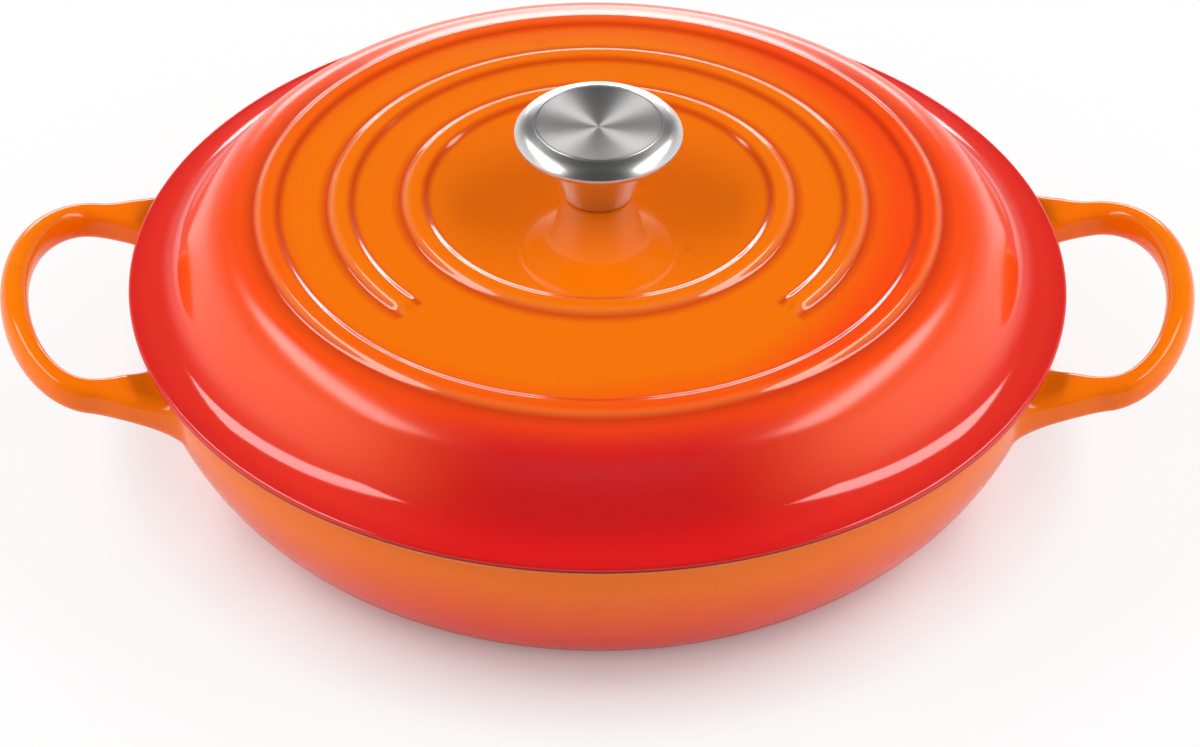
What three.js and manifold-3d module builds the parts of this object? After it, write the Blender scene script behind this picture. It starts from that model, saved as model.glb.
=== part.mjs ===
import * as THREE from "three";
import { mergeVertices } from "three/addons/utils/BufferGeometryUtils.js";
import Module from "manifold-3d";

// A shallow cast-iron casserole with two loop handles and a domed lid with a steel knob.
// Lengths are millimetres. The pot stands on z = 0, +Z is up and the handles lie along X.

// Pot
const RIM_RADIUS = 133; // outside of the rim
const POT_HEIGHT = 55; // from the table to the top of the rim
const WALL = 4; // side wall
const BASE_THICKNESS = 4.4; // floor of the bowl
const RIM_ROUND = 1.4; // rounding of the rim's two edges
const FOOT_INSET = 34.5; // from the rim in to the outer edge of the foot
const FOOT_WIDTH = 16; // flat ring that the pot stands on
const FOOT_RECESS = 0.8; // the middle of the underside stands this far off the table
const SIDE_LIFT = 13; // length of the curve's pull at the foot
const SIDE_LIFT_ANGLE = 20; // degrees, how steeply the side leaves the foot
const SIDE_UPRIGHT = 29; // length of the curve's pull at the rim, where the side is upright

// Handles
const HANDLE_REACH = 41; // from the rim out to the end of the grip
const HANDLE_DROP = 2.5; // from the top of the rim down to the top of the bar at its roots
const HANDLE_RISE = 6.3; // the grip stands this much higher than the roots
const HANDLE_THICKNESS = 9.9; // height of the bar
const LOOP_OFFSET = 14; // from the rim out to where the arms end and the round of the loop begins
const LOOP_WIDTH = 94.4; // across the loop, where its round begins
const GRIP_WIDTH = 8.4; // bar at the end of the loop, seen from above
const ARM_WIDTH = 8.4; // bar where the round begins, seen from above
const ARM_FLARE = 0.5; // sideways slope of an arm's two edges at the pot
const FLARE_ROUND = 6; // softens the start of the flare
const ROOT_DEPTH = 25; // the arms run on inside the rim by this much and end in the bowl's wall
const ROOT_DEEPENING = 5; // the underside drops by this much where the arm meets the side
const ROOT_REACH = 16; // stretch of arm over which it drops
const BAR_SQUARENESS = 0.7; // 1 is an elliptical section, and smaller is squarer

// Lid
const LID_OVERHANG = 3.5; // beyond the outside of the pot's rim
const LID_WALL = 3.8; // wall of the dome
const LID_RISE = 33.5; // from the seat on the rim to the top of the crown
const CROWN_RADIUS = 760; // the crown is gently arched
const DOME_ANGLE = 58; // degrees, slope of the dome's side
const SHOULDER_RADIUS = 15; // between the crown and the dome's side
const COVE_RADIUS = 12; // between the dome's side and the flange
const FLANGE_SLOPE = 10; // degrees
const EDGE_ROUND = 1.2; // radius of the flange's edge
const SKIRT_GAP = 2.2; // between the skirt and the inside of the pot
const SKIRT_WIDTH = 4.2; // ring under the lid, inside the pot's rim
const SKIRT_DEPTH = 4;
const LUG_COUNT = 3; // lugs on the skirt that keep the lid centred
const LUG_LENGTH = 16;
const LUG_GAP = 0.7; // between a lug and the inside of the pot
const RING_INSET = 6.7; // from the start of the shoulder in to the middle of the outer ring
const RING_SPACING = 21.4;
const RING_WIDTH = 8.2;
const RING_HEIGHT = 1.4;
const RING_FLAT = 0.4; // share of a ring's width that is level
const RING_BREAK = 92; // degrees, the bare stretch at the front of the middle ring
const RING_SINK = 1.5; // depth of the broken ring's root in the crown
const RING_END = 4; // degrees over which the broken ring's ends fade out
const RING_END_SIZE = 0.2; // share of the full ridge that is left at its very end
const BOSS_RADIUS = 12; // thicker middle of the lid, seen from below
const BOSS_DEPTH = 2;

// Knob and its fastening
const KNOB_HEIGHT = 24.7;
const KNOB_RADIUS = 24.5;
const KNOB_DISC_RADIUS = 18.5; // flat top
const KNOB_BEVEL_DROP = 2.5; // from the flat top down to the widest edge
const KNOB_SKIRT_DROP = 2.5; // from the widest edge down to the cap's lower edge
const KNOB_SKIRT_TUCK = 0.2; // the lower edge draws in by this much
const KNOB_EDGE_ROUND = 2.2;
const SHEET = 1.3; // steel of the cap and the stem
const STEM_BASE_RADIUS = 9.9;
const STEM_FLARE = 0.3; // outward slope of the stem's side
const STEM_NECK = 3.4; // from the cap's lower edge down to where the flange under the cap begins
const STEM_NECK_ROUND = 4;
const INSERT_RADIUS = 5.6;
const INSERT_HEIGHT = 14;
const COLLAR_WIDTH = 0.9; // the insert's collar pulls on the floor of the stem
const COLLAR_HEIGHT = 1.8;
const STEM_FLOOR = 2;
const SCREW_RADIUS = 2.9;
const SCREW_GRIP = 8.5; // length of screw inside the insert
const SCREW_TIP_GAP = 2; // bare thread beyond the screw's tip
const HEAD_RADIUS = 5.4;
const HEAD_HEIGHT = 3.6;
const RECESS_WIDTH = 1.4; // cross recess in the screw's head
const RECESS_LENGTH = 6;
const RECESS_DEPTH = 2;
const HOLE_CLEARANCE = 0.5; // round the screw in the lid and the washers
const WASHER_RADIUS = 8;
const WASHER_THICKNESS = 1.2;
const LOCK_WASHER_RADIUS = 5.2;
const LOCK_WASHER_THICKNESS = 1.5;
const LOCK_WASHER_SPLIT = 22; // degrees
const TOUCH = 0.3; // gap between pieces that touch

// Facets
const ROUND_STEPS = 60; // round the pot and the lid
const KNOB_STEPS = 36; // round the knob
const SMALL_STEPS = 24; // round the screw and the washers
const ARC_STEPS = 4; // along a rounded corner
const EDGE_STEPS = 2; // along a corner whose radius is under EDGE_LIMIT
const EDGE_LIMIT = 2;
const SECTION_STEPS = 12; // round the handle's bar
const ARM_STEPS = 6; // along an arm of the handle
const LOOP_STEPS = 9; // along each half of the loop's round
const SIDE_STEPS = 10; // up the side of the pot
const RIDGE_STEPS = 6; // across a ridge of the lid
const BROKEN_RING_STEPS = 68; // along the broken ring

const wasm = await Module();
wasm.setup();

const radians = THREE.MathUtils.degToRad;
const point = (x, y) => new THREE.Vector2(x, y);

// Joins equal vertices, drops triangles that have no area left and turns the faces outwards.
function closed(geometry) {
  geometry.deleteAttribute("normal");
  geometry.deleteAttribute("uv");
  const merged = mergeVertices(geometry, 1e-4);
  const corners = merged.index.array;
  const place = merged.attributes.position;
  const kept = [];
  let volume = 0;
  const [a, b, c] = [new THREE.Vector3(), new THREE.Vector3(), new THREE.Vector3()];
  for (let i = 0; i < corners.length; i += 3) {
    const [p, q, r] = [corners[i], corners[i + 1], corners[i + 2]];
    if (p === q || q === r || r === p) continue;
    kept.push(p, q, r);
    a.fromBufferAttribute(place, p);
    b.fromBufferAttribute(place, q);
    c.fromBufferAttribute(place, r);
    volume += a.dot(b.cross(c));
  }
  merged.setIndex(volume < 0 ? kept.reverse() : kept);
  return merged;
}

// Turns an outline of (radius, height) points round the Z axis.
function revolve(outline, steps) {
  const points = [...outline];
  if (outline[0].x > 0) points.push(outline[0]);
  return closed(new THREE.LatheGeometry(points, steps).rotateX(Math.PI / 2));
}

// Skins a run of rings that all have the same number of points, and closes both ends.
function loft(rings) {
  const count = rings[0].length;
  const places = rings.flat();
  const faces = [];
  for (let i = 0; i + 1 < rings.length; i++) {
    for (let k = 0; k < count; k++) {
      const here = i * count + k;
      const beside = i * count + ((k + 1) % count);
      faces.push(here, beside, here + count, beside, beside + count, here + count);
    }
  }
  const last = places.length - count;
  for (let k = 1; k + 1 < count; k++) {
    faces.push(0, k + 1, k, last, last + k, last + k + 1);
  }
  const geometry = new THREE.BufferGeometry().setFromPoints(places);
  geometry.setIndex(faces);
  return closed(geometry);
}

// Sweeps an outline of (radius, height) points part of the way round the Z axis.
// The outline may change along the way: it is asked for at each share of the sweep.
function sweep(outlineAt, from, to, steps) {
  const rings = [];
  for (let i = 0; i <= steps; i++) {
    const turn = from + ((to - from) * i) / steps;
    const place = ({ x, y }) => new THREE.Vector3(x * Math.cos(turn), x * Math.sin(turn), y);
    rings.push(outlineAt(i / steps).map(place));
  }
  return loft(rings);
}

// Points along a run of straight lines whose corners, given as [x, y, radius], are rounded.
// A rounding never takes more than half of the lines that it joins.
function rounded(corners) {
  return corners.flatMap(([x, y, radius = 0], i) => {
    const here = point(x, y);
    if (radius === 0) return [here];
    const back = point(...corners[i - 1]).sub(here);
    const ahead = point(...corners[i + 1]).sub(here);
    const half = Math.acos(back.dot(ahead) / (back.length() * ahead.length())) / 2;
    const reach = Math.min(radius / Math.tan(half), back.length() / 2, ahead.length() / 2);
    const start = back.setLength(reach);
    const end = ahead.setLength(reach);
    const centre = start.clone().add(end).setLength(reach / Math.cos(half));
    const spoke = start.clone().sub(centre);
    const turn = Math.sign(spoke.cross(end.clone().sub(centre))) * (Math.PI - 2 * half);
    const steps = radius < EDGE_LIMIT ? EDGE_STEPS : ARC_STEPS;
    const points = [];
    for (let k = 0; k <= steps; k++) {
      const arm = spoke.clone().rotateAround(point(0, 0), (turn * k) / steps);
      points.push(arm.add(centre).add(here));
    }
    return points;
  });
}

function solid(geometry) {
  const vertProperties = geometry.attributes.position.array;
  const triVerts = new Uint32Array(geometry.index.array);
  return new wasm.Manifold(new wasm.Mesh({ numProp: 3, vertProperties, triVerts }));
}

function geometryOf(manifold) {
  const { vertProperties, triVerts } = manifold.getMesh();
  const geometry = new THREE.BufferGeometry();
  geometry.setAttribute("position", new THREE.BufferAttribute(vertProperties, 3));
  geometry.setIndex(new THREE.BufferAttribute(triVerts, 1));
  return geometry;
}

const orangeEnamel = new THREE.MeshStandardMaterial({ color: 0xe8721c, roughness: 0.12, metalness: 0 });
const redEnamel = new THREE.MeshStandardMaterial({ color: 0xe0471c, roughness: 0.12, metalness: 0 });
const brushedSteel = new THREE.MeshStandardMaterial({ color: 0xb4b3b1, roughness: 0.3, metalness: 1 });
const zincSteel = new THREE.MeshStandardMaterial({ color: 0xa4a5a6, roughness: 0.4, metalness: 1 });

function part(name, geometry, material) {
  const mesh = new THREE.Mesh(geometry, material);
  mesh.name = name;
  return mesh;
}

// Pot: the bowl with both handles, hollowed last so that no handle's root is left inside.
const potInnerRadius = RIM_RADIUS - WALL;

function potSide() {
  const footRadius = RIM_RADIUS - FOOT_INSET;
  const lift = point(SIDE_LIFT, 0).rotateAround(point(0, 0), radians(SIDE_LIFT_ANGLE));
  const foot = point(footRadius, 0);
  const rim = point(RIM_RADIUS, POT_HEIGHT);
  const below = point(RIM_RADIUS, POT_HEIGHT - SIDE_UPRIGHT);
  return new THREE.CubicBezierCurve(foot, foot.clone().add(lift), below, rim).getPoints(SIDE_STEPS);
}

// The side's line moved inwards by the wall, from the floor of the bowl up to the rim.
function bowlSide() {
  const side = potSide();
  const inner = side.map((here, i) => {
    const back = side[Math.max(i - 1, 0)];
    const ahead = side[Math.min(i + 1, SIDE_STEPS)];
    const along = ahead.clone().sub(back).setLength(WALL);
    return point(here.x - along.y, here.y + along.x);
  });
  const floor = FOOT_RECESS + BASE_THICKNESS;
  const first = inner.findIndex(({ y }) => y > floor);
  const [low, high] = [inner[first - 1] ?? point(inner[0].x, 0), inner[first]];
  const corner = low.clone().lerp(high, (floor - low.y) / (high.y - low.y));
  return [corner, ...inner.slice(first, -1)];
}

// One edge of a handle seen from above: a flaring arm, half an oval, and the other arm.
function handleEdge(reach, half, flare) {
  const centre = RIM_RADIUS + LOOP_OFFSET;
  const points = [];
  for (let k = 0; k < ARM_STEPS; k++) {
    const inward = (LOOP_OFFSET + ROOT_DEPTH) * (1 - k / ARM_STEPS);
    points.push(point(centre - inward, half + flare * (Math.hypot(inward, FLARE_ROUND) - FLARE_ROUND)));
  }
  for (let k = 0; k < LOOP_STEPS; k++) {
    const turn = (Math.PI / 2) * (1 - k / LOOP_STEPS);
    points.push(point(centre + reach * Math.cos(turn), half * Math.sin(turn)));
  }
  const mirrored = points.map(({ x, y }) => point(x, -y)).reverse();
  return [...points, point(centre + reach, 0), ...mirrored];
}

// One handle, on the +X side: a bar of rounded section between the loop's outer and inner edges.
function handle() {
  const reach = HANDLE_REACH - LOOP_OFFSET;
  const half = LOOP_WIDTH / 2;
  const outer = handleEdge(reach, half, ARM_FLARE);
  const inner = handleEdge(reach - GRIP_WIDTH, half - ARM_WIDTH, -ARM_FLARE);
  const top = POT_HEIGHT - HANDLE_DROP;
  const riseStart = RIM_RADIUS + LID_OVERHANG;
  const grip = RIM_RADIUS + HANDLE_REACH - GRIP_WIDTH / 2;
  const power = (value) => Math.sign(value) * Math.abs(value) ** BAR_SQUARENESS;
  const rings = outer.map((outside, i) => {
    const middle = outside.clone().add(inner[i]).divideScalar(2);
    const across = outside.clone().sub(middle);
    const near = Math.max(0, RIM_RADIUS + ROOT_REACH - middle.x) / ROOT_REACH;
    const height = (HANDLE_THICKNESS + ROOT_DEEPENING * Math.min(near, 1) ** 2) / 2;
    const beyond = Math.max(0, middle.x - riseStart) / (grip - riseStart);
    const centre = top - height + HANDLE_RISE * beyond ** 2;
    const ring = [];
    for (let k = 0; k < SECTION_STEPS; k++) {
      const turn = (2 * Math.PI * (k + 0.5)) / SECTION_STEPS;
      const side = power(Math.cos(turn));
      const up = centre + height * power(Math.sin(turn));
      ring.push(new THREE.Vector3(middle.x + across.x * side, middle.y + across.y * side, up));
    }
    return ring;
  });
  return loft(rings);
}

function pot() {
  const side = potSide();
  const footInner = side[0].x - FOOT_WIDTH;
  const edge = [RIM_RADIUS, POT_HEIGHT - RIM_ROUND];
  const rimTop = rounded([edge, [RIM_RADIUS, POT_HEIGHT, RIM_ROUND], [potInnerRadius, POT_HEIGHT]]);
  const outside = [
    point(0, FOOT_RECESS),
    point(footInner - FOOT_RECESS, FOOT_RECESS),
    point(footInner, 0),
    ...side.slice(0, -1),
    ...rimTop.slice(0, -1),
    point(0, POT_HEIGHT),
  ];
  const over = POT_HEIGHT + RIM_ROUND;
  const bowl = bowlSide();
  const inside = [
    point(0, bowl[0].y),
    ...bowl,
    point(potInnerRadius, POT_HEIGHT - RIM_ROUND),
    point(potInnerRadius + RIM_ROUND, POT_HEIGHT),
    point(potInnerRadius + RIM_ROUND, over),
    point(0, over),
  ];
  const loop = solid(handle());
  const farLoop = solid(closed(handle().rotateZ(Math.PI)));
  const body = solid(revolve(outside, ROUND_STEPS)).add(loop).add(farLoop);
  return geometryOf(body.subtract(solid(revolve(inside, ROUND_STEPS))));
}

// Lid: one outline turned round the axis, with the broken ring and the lugs joined on.
const seatZ = POT_HEIGHT + TOUCH;
const crownTop = seatZ + LID_RISE;
const lidRadius = RIM_RADIUS + LID_OVERHANG;
const skirtRadius = potInnerRadius - SKIRT_GAP;
const skirtInner = skirtRadius - SKIRT_WIDTH;
const bossZ = crownTop - LID_WALL - BOSS_DEPTH;
const holeRadius = SCREW_RADIUS + HOLE_CLEARANCE;
const domeSlope = Math.tan(radians(DOME_ANGLE));
const crown = (radius) => crownTop - radius ** 2 / (2 * CROWN_RADIUS);

// Where the crown meets the dome's side, both moved inwards by a depth.
function shoulder(depth) {
  const side = skirtInner + (LID_WALL - depth) / Math.sin(radians(DOME_ANGLE));
  const drop = seatZ + domeSlope * side - crownTop + depth;
  const radius = CROWN_RADIUS * (domeSlope - Math.sqrt(domeSlope ** 2 - (2 * drop) / CROWN_RADIUS));
  return [radius, crown(radius) - depth, SHOULDER_RADIUS - depth];
}

// Where the dome's side meets the sloping top of the flange.
function coveCorner() {
  const slope = Math.tan(radians(FLANGE_SLOPE));
  const side = skirtInner + LID_WALL / Math.sin(radians(DOME_ANGLE));
  const rise = 2 * EDGE_ROUND + slope * (lidRadius - EDGE_ROUND - side);
  const radius = side - rise / (domeSlope - slope);
  return [radius, seatZ + (side - radius) * domeSlope, COVE_RADIUS];
}

const outerShoulder = shoulder(0);
const shoulderReach = SHOULDER_RADIUS * Math.tan(radians(DOME_ANGLE) / 2);
const outerRing = outerShoulder[0] - shoulderReach - RING_INSET;
const middleRing = outerRing - RING_SPACING;
const innerRing = middleRing - RING_SPACING;

// A rounded ridge on the crown, from its inner foot to its outer foot, at a share of its full size.
function ridge(radius, share = 1) {
  const points = [];
  for (let k = 0; k <= RIDGE_STEPS; k++) {
    const across = (2 * k) / RIDGE_STEPS - 1;
    const place = radius + (across * share * RING_WIDTH) / 2;
    const flank = Math.max(0, Math.abs(across) - RING_FLAT) / (1 - RING_FLAT);
    const height = (share * RING_HEIGHT * (1 + Math.cos(Math.PI * flank))) / 2;
    points.push(point(place, crown(place) + height));
  }
  return points;
}

function brokenRing() {
  const front = -Math.PI / 2;
  const open = radians(RING_BREAK) / 2;
  const length = 360 - RING_BREAK;
  const outlineAt = (share) => {
    const fromEnd = Math.min(share, 1 - share) * length;
    const near = 1 - Math.min(fromEnd / RING_END, 1);
    const size = Math.max(Math.sqrt(1 - near ** 2), RING_END_SIZE);
    const top = ridge(middleRing, size);
    const root = [top.at(-1), top[0]].map(({ x, y }) => point(x, y - RING_SINK));
    return [...top, ...root];
  };
  return sweep(outlineAt, front + open, front - open + 2 * Math.PI, BROKEN_RING_STEPS);
}

function lugs() {
  const half = LUG_LENGTH / 2 / skirtRadius;
  const bottom = seatZ - SKIRT_DEPTH + EDGE_ROUND / 2;
  const inside = skirtRadius - SKIRT_WIDTH / 2;
  const outside = potInnerRadius - LUG_GAP;
  const outline = [
    point(inside, bottom),
    point(outside, bottom),
    point(outside, seatZ - EDGE_ROUND / 2),
    point(skirtRadius, seatZ),
    point(inside, seatZ),
  ];
  const turns = Array.from({ length: LUG_COUNT }, (_, i) => Math.PI / 2 + (2 * Math.PI * i) / LUG_COUNT);
  return turns.map((turn) => sweep(() => outline, turn - half, turn + half, 3));
}

function lid() {
  const edge = lidRadius - EDGE_ROUND;
  const top = [point(holeRadius, crownTop), ...ridge(innerRing), point(middleRing, crown(middleRing))];
  const dome = rounded([
    [middleRing, crown(middleRing)],
    outerShoulder,
    coveCorner(),
    [edge, seatZ + 2 * EDGE_ROUND],
    [lidRadius, seatZ + 2 * EDGE_ROUND, EDGE_ROUND],
    [lidRadius, seatZ, EDGE_ROUND],
    [edge - EDGE_ROUND, seatZ],
    [skirtRadius, seatZ],
    [skirtRadius, seatZ - SKIRT_DEPTH, EDGE_ROUND / 2],
    [skirtInner, seatZ - SKIRT_DEPTH, EDGE_ROUND / 2],
    [skirtInner, seatZ],
    shoulder(LID_WALL),
    [middleRing, crown(middleRing) - LID_WALL],
    [BOSS_RADIUS + BOSS_DEPTH, crown(BOSS_RADIUS) - LID_WALL],
    [BOSS_RADIUS, bossZ],
    [holeRadius, bossZ],
  ]);
  const outline = [...top, ...ridge(outerRing), ...dome.slice(1)];
  const shell = solid(revolve(outline, ROUND_STEPS)).add(solid(brokenRing()));
  const whole = lugs().reduce((body, lug) => body.add(solid(lug)), shell);
  return geometryOf(whole);
}

// Knob: its pieces stand on z = 0 here, and the group puts them on the lid.
const capEdgeZ = KNOB_HEIGHT - KNOB_BEVEL_DROP - KNOB_SKIRT_DROP;
const capEdgeRadius = KNOB_RADIUS - KNOB_SKIRT_TUCK;
const boreRadius = SCREW_RADIUS + TOUCH;

function knobCap() {
  const bevelZ = KNOB_HEIGHT - KNOB_BEVEL_DROP;
  return revolve(
    rounded([
      [0, KNOB_HEIGHT],
      [KNOB_DISC_RADIUS, KNOB_HEIGHT],
      [KNOB_RADIUS, bevelZ, KNOB_EDGE_ROUND],
      [capEdgeRadius, capEdgeZ],
      [capEdgeRadius - SHEET, capEdgeZ],
      [KNOB_RADIUS - SHEET, bevelZ],
      [KNOB_DISC_RADIUS, KNOB_HEIGHT - SHEET],
      [0, KNOB_HEIGHT - SHEET],
    ]),
    KNOB_STEPS,
  );
}

// The stem is a trumpet of sheet steel: a floor that the insert holds, a flaring side and a flange.
function knobStem() {
  const neckZ = capEdgeZ - STEM_NECK;
  const side = (z) => STEM_BASE_RADIUS + STEM_FLARE * z;
  const flangeRadius = capEdgeRadius - SHEET - TOUCH;
  const floorHole = INSERT_RADIUS + TOUCH;
  return revolve(
    rounded([
      [floorHole, 0],
      [STEM_BASE_RADIUS, 0],
      [side(neckZ), neckZ, STEM_NECK_ROUND],
      [flangeRadius, capEdgeZ],
      [flangeRadius, capEdgeZ + SHEET],
      [side(neckZ) - SHEET, neckZ + SHEET, STEM_NECK_ROUND],
      [side(STEM_FLOOR) - SHEET, STEM_FLOOR],
      [floorHole, STEM_FLOOR],
    ]),
    KNOB_STEPS,
  );
}

function knobInsert() {
  const collarZ = STEM_FLOOR + TOUCH;
  const collarRadius = INSERT_RADIUS + COLLAR_WIDTH;
  const boreTop = SCREW_GRIP + SCREW_TIP_GAP;
  const outline = [
    point(0, boreTop),
    point(boreRadius, boreTop),
    point(boreRadius, 0),
    point(INSERT_RADIUS, 0),
    point(INSERT_RADIUS, collarZ),
    point(collarRadius, collarZ),
    point(collarRadius, collarZ + COLLAR_HEIGHT),
    point(INSERT_RADIUS, collarZ + COLLAR_HEIGHT),
    point(INSERT_RADIUS, INSERT_HEIGHT),
    point(0, INSERT_HEIGHT),
  ];
  return revolve(outline, SMALL_STEPS);
}

const knobZ = crownTop + TOUCH;
const washerTop = bossZ - TOUCH;
const lockWasherTop = washerTop - WASHER_THICKNESS - TOUCH;
const headTop = lockWasherTop - LOCK_WASHER_THICKNESS - TOUCH;

function ringOutline(inner, outer, top, thickness) {
  const bottom = top - thickness;
  return [point(inner, bottom), point(outer, bottom), point(outer, top), point(inner, top)];
}

function flatWasher() {
  return revolve(ringOutline(holeRadius, WASHER_RADIUS, washerTop, WASHER_THICKNESS), SMALL_STEPS);
}

function lockWasher() {
  const split = radians(LOCK_WASHER_SPLIT) / 2;
  const outline = ringOutline(holeRadius, LOCK_WASHER_RADIUS, lockWasherTop, LOCK_WASHER_THICKNESS);
  const back = Math.PI / 2;
  return sweep(() => outline, back + split, back + 2 * Math.PI - split, SMALL_STEPS);
}

function knobScrew() {
  const bottom = headTop - HEAD_HEIGHT;
  const tip = knobZ + SCREW_GRIP;
  const blank = revolve(
    rounded([
      [0, bottom],
      [HEAD_RADIUS, bottom, HEAD_HEIGHT / 2],
      [HEAD_RADIUS, headTop],
      [SCREW_RADIUS, headTop],
      [SCREW_RADIUS, tip - SCREW_RADIUS / 2],
      [SCREW_RADIUS / 2, tip],
      [0, tip],
    ]),
    SMALL_STEPS,
  );
  const cutter = new THREE.BoxGeometry(RECESS_LENGTH, RECESS_WIDTH, 2 * RECESS_DEPTH);
  cutter.translate(0, 0, bottom);
  const cross = solid(closed(cutter.clone())).add(solid(closed(cutter.rotateZ(Math.PI / 2))));
  return geometryOf(solid(blank).subtract(cross));
}

const knob = new THREE.Group();
knob.position.z = knobZ;
knob.add(part("knob_cap", knobCap(), brushedSteel));
knob.add(part("knob_stem", knobStem(), brushedSteel));
knob.add(part("knob_insert", knobInsert(), zincSteel));

const casserole = new THREE.Group();
casserole.add(part("pot", pot(), orangeEnamel));
casserole.add(part("lid", lid(), redEnamel));
casserole.add(knob);
casserole.add(part("flat_washer", flatWasher(), zincSteel));
casserole.add(part("lock_washer", lockWasher(), zincSteel));
casserole.add(part("knob_screw", knobScrew(), zincSteel));

export default casserole;
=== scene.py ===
# %% [markdown]
# # A shallow cast-iron casserole in shaded enamel
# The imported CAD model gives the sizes, the places of the pieces and the way the lid lifts and turns. This lesson puts
# the fine shapes and the finishes on it: shaded enamel, sand-coloured lining, bare iron and brushed steel. Lengths
# are in metres, in the model's own frame: +X runs through the two handles, +Z is up, the foot stands on z = 0.

# %% Load the frame
import math

import bpy
import numpy as np
from mathutils import Matrix, Vector


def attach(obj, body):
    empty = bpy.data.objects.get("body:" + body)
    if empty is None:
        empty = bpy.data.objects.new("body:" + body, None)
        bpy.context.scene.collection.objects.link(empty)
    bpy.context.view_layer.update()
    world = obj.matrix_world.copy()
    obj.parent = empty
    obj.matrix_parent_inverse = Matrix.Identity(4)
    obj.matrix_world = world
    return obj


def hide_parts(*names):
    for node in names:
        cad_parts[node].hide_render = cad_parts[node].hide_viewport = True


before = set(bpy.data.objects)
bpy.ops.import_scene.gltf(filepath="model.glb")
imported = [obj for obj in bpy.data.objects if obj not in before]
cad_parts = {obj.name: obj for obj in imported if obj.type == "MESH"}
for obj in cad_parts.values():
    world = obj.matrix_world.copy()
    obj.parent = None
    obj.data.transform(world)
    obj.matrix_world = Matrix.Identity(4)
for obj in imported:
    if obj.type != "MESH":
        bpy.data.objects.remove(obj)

MM = 0.001
scene = bpy.context.scene
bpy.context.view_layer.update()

# %% [markdown]
# ## Small helpers for node trees
# Every finish and every turned shape below is a node tree built in code. A few helpers keep that short. They add a
# node and fill its inputs with numbers or with other nodes' outputs, add a single sum, move a value into another
# range, measure a vector, or start a material.

# %% Helpers for nodes
def add_node(tree, kind, inputs=None, **settings):
    """Add a node, set its fields, and fill its inputs from numbers or from other nodes' outputs."""
    node = tree.nodes.new(kind)
    for field, value in settings.items():
        setattr(node, field, value)
    for key, value in (inputs or {}).items():
        if isinstance(value, bpy.types.NodeSocket):
            tree.links.new(value, node.inputs[key])
        else:
            node.inputs[key].default_value = value
    return node


def calc(tree, operation, first, second=0.0, clamp=False):
    """One sum as a Math node; the result is the node's output."""
    return add_node(tree, "ShaderNodeMath", {0: first, 1: second}, operation=operation, use_clamp=clamp).outputs[0]


def map_range(tree, value, start, end, low=0.0, high=1.0, smooth=False):
    """Low before the start, high past the end, and a straight or smooth change between them."""
    steps = {"Value": value, 1: start, 2: end, 3: low, 4: high}
    way = "SMOOTHSTEP" if smooth else "LINEAR"
    return add_node(tree, "ShaderNodeMapRange", steps, interpolation_type=way).outputs[0]


def length(tree, vector):
    """How long a vector is."""
    return add_node(tree, "ShaderNodeVectorMath", {0: vector}, operation="LENGTH").outputs["Value"]


def add_sockets(tree, inputs, outputs):
    """Give a tree named inputs and outputs, then return its two end nodes."""
    for names, way in ((inputs, "INPUT"), (outputs, "OUTPUT")):
        for name, kind in names.items():
            tree.interface.new_socket(name, in_out=way, socket_type="NodeSocket" + kind)
    return tree.nodes.new("NodeGroupInput"), tree.nodes.new("NodeGroupOutput")


def new_material(name):
    """A material with its Principled shader; returns the material, its tree and the shader."""
    material = bpy.data.materials.new(name)
    material.use_nodes = True
    return material, material.node_tree, material.node_tree.nodes["Principled BSDF"]


# %% [markdown]
# ## The studio
# A product picture of glossy enamel is mostly a picture of what the enamel mirrors. The lid mirrors a dark ceiling,
# so the studio has a soft box high on each side, a low strip behind, and pale walls that fade out upwards. Wide lamps
# fill the shadows like a light tent; they are kept out of reflections, because none shows in the lid's dome.
# The floor turns paper white away from the pot and keeps its shadow close by; where the lamps no longer reach, it is
# full white. In reflections the white starts further out, because the pot's lower wall mirrors the shaded floor right
# under it.

# %% Floor
FLOOR_HALF = 30.0
FLOOR_GAP = 0.0001
FLOOR_TONE = 0.93
FLOOR_ROUGHNESS = 0.9
FLOOR_SPECULAR = 0.1
PAPER_WHITE = 0.8
SHADOW_INNER, SHADOW_OUTER = 0.092, 0.145
MIRROR_INNER, MIRROR_OUTER = 0.125, 0.20
LAMPLIT_INNER, LAMPLIT_OUTER = 0.5, 1.5

floor_mesh = bpy.data.meshes.new("floor")
floor_corners = [(x * FLOOR_HALF, y * FLOOR_HALF, -FLOOR_GAP) for x, y in ((-1, -1), (1, -1), (1, 1), (-1, 1))]
floor_mesh.from_pydata(floor_corners, [], [(0, 1, 2, 3)])
floor = bpy.data.objects.new("floor", floor_mesh)
scene.collection.objects.link(floor)

floor_paint, floor_tree, floor_shader = new_material("pale_floor")
floor_shader.inputs["Base Color"].default_value = (FLOOR_TONE, FLOOR_TONE, FLOOR_TONE, 1)
floor_shader.inputs["Roughness"].default_value = FLOOR_ROUGHNESS
floor_shader.inputs["Specular IOR Level"].default_value = FLOOR_SPECULAR
white = add_node(floor_tree, "ShaderNodeEmission", {"Color": (1, 1, 1, 1), "Strength": 1.0})
path = add_node(floor_tree, "ShaderNodeLightPath").outputs
seen = calc(floor_tree, "ADD", path["Is Camera Ray"], path["Is Transmission Ray"], clamp=True)
away = length(floor_tree, add_node(floor_tree, "ShaderNodeTexCoord").outputs["Object"])
past_lamps = map_range(floor_tree, away, LAMPLIT_INNER, LAMPLIT_OUTER, high=1 - PAPER_WHITE)
lightened = []
for rays, inner, outer in (
    (seen, SHADOW_INNER, SHADOW_OUTER),
    (path["Is Glossy Ray"], MIRROR_INNER, MIRROR_OUTER),
):
    near_white = map_range(floor_tree, away, inner, outer, high=PAPER_WHITE)
    lightened.append(calc(floor_tree, "MULTIPLY", rays, calc(floor_tree, "ADD", near_white, past_lamps)))
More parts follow.
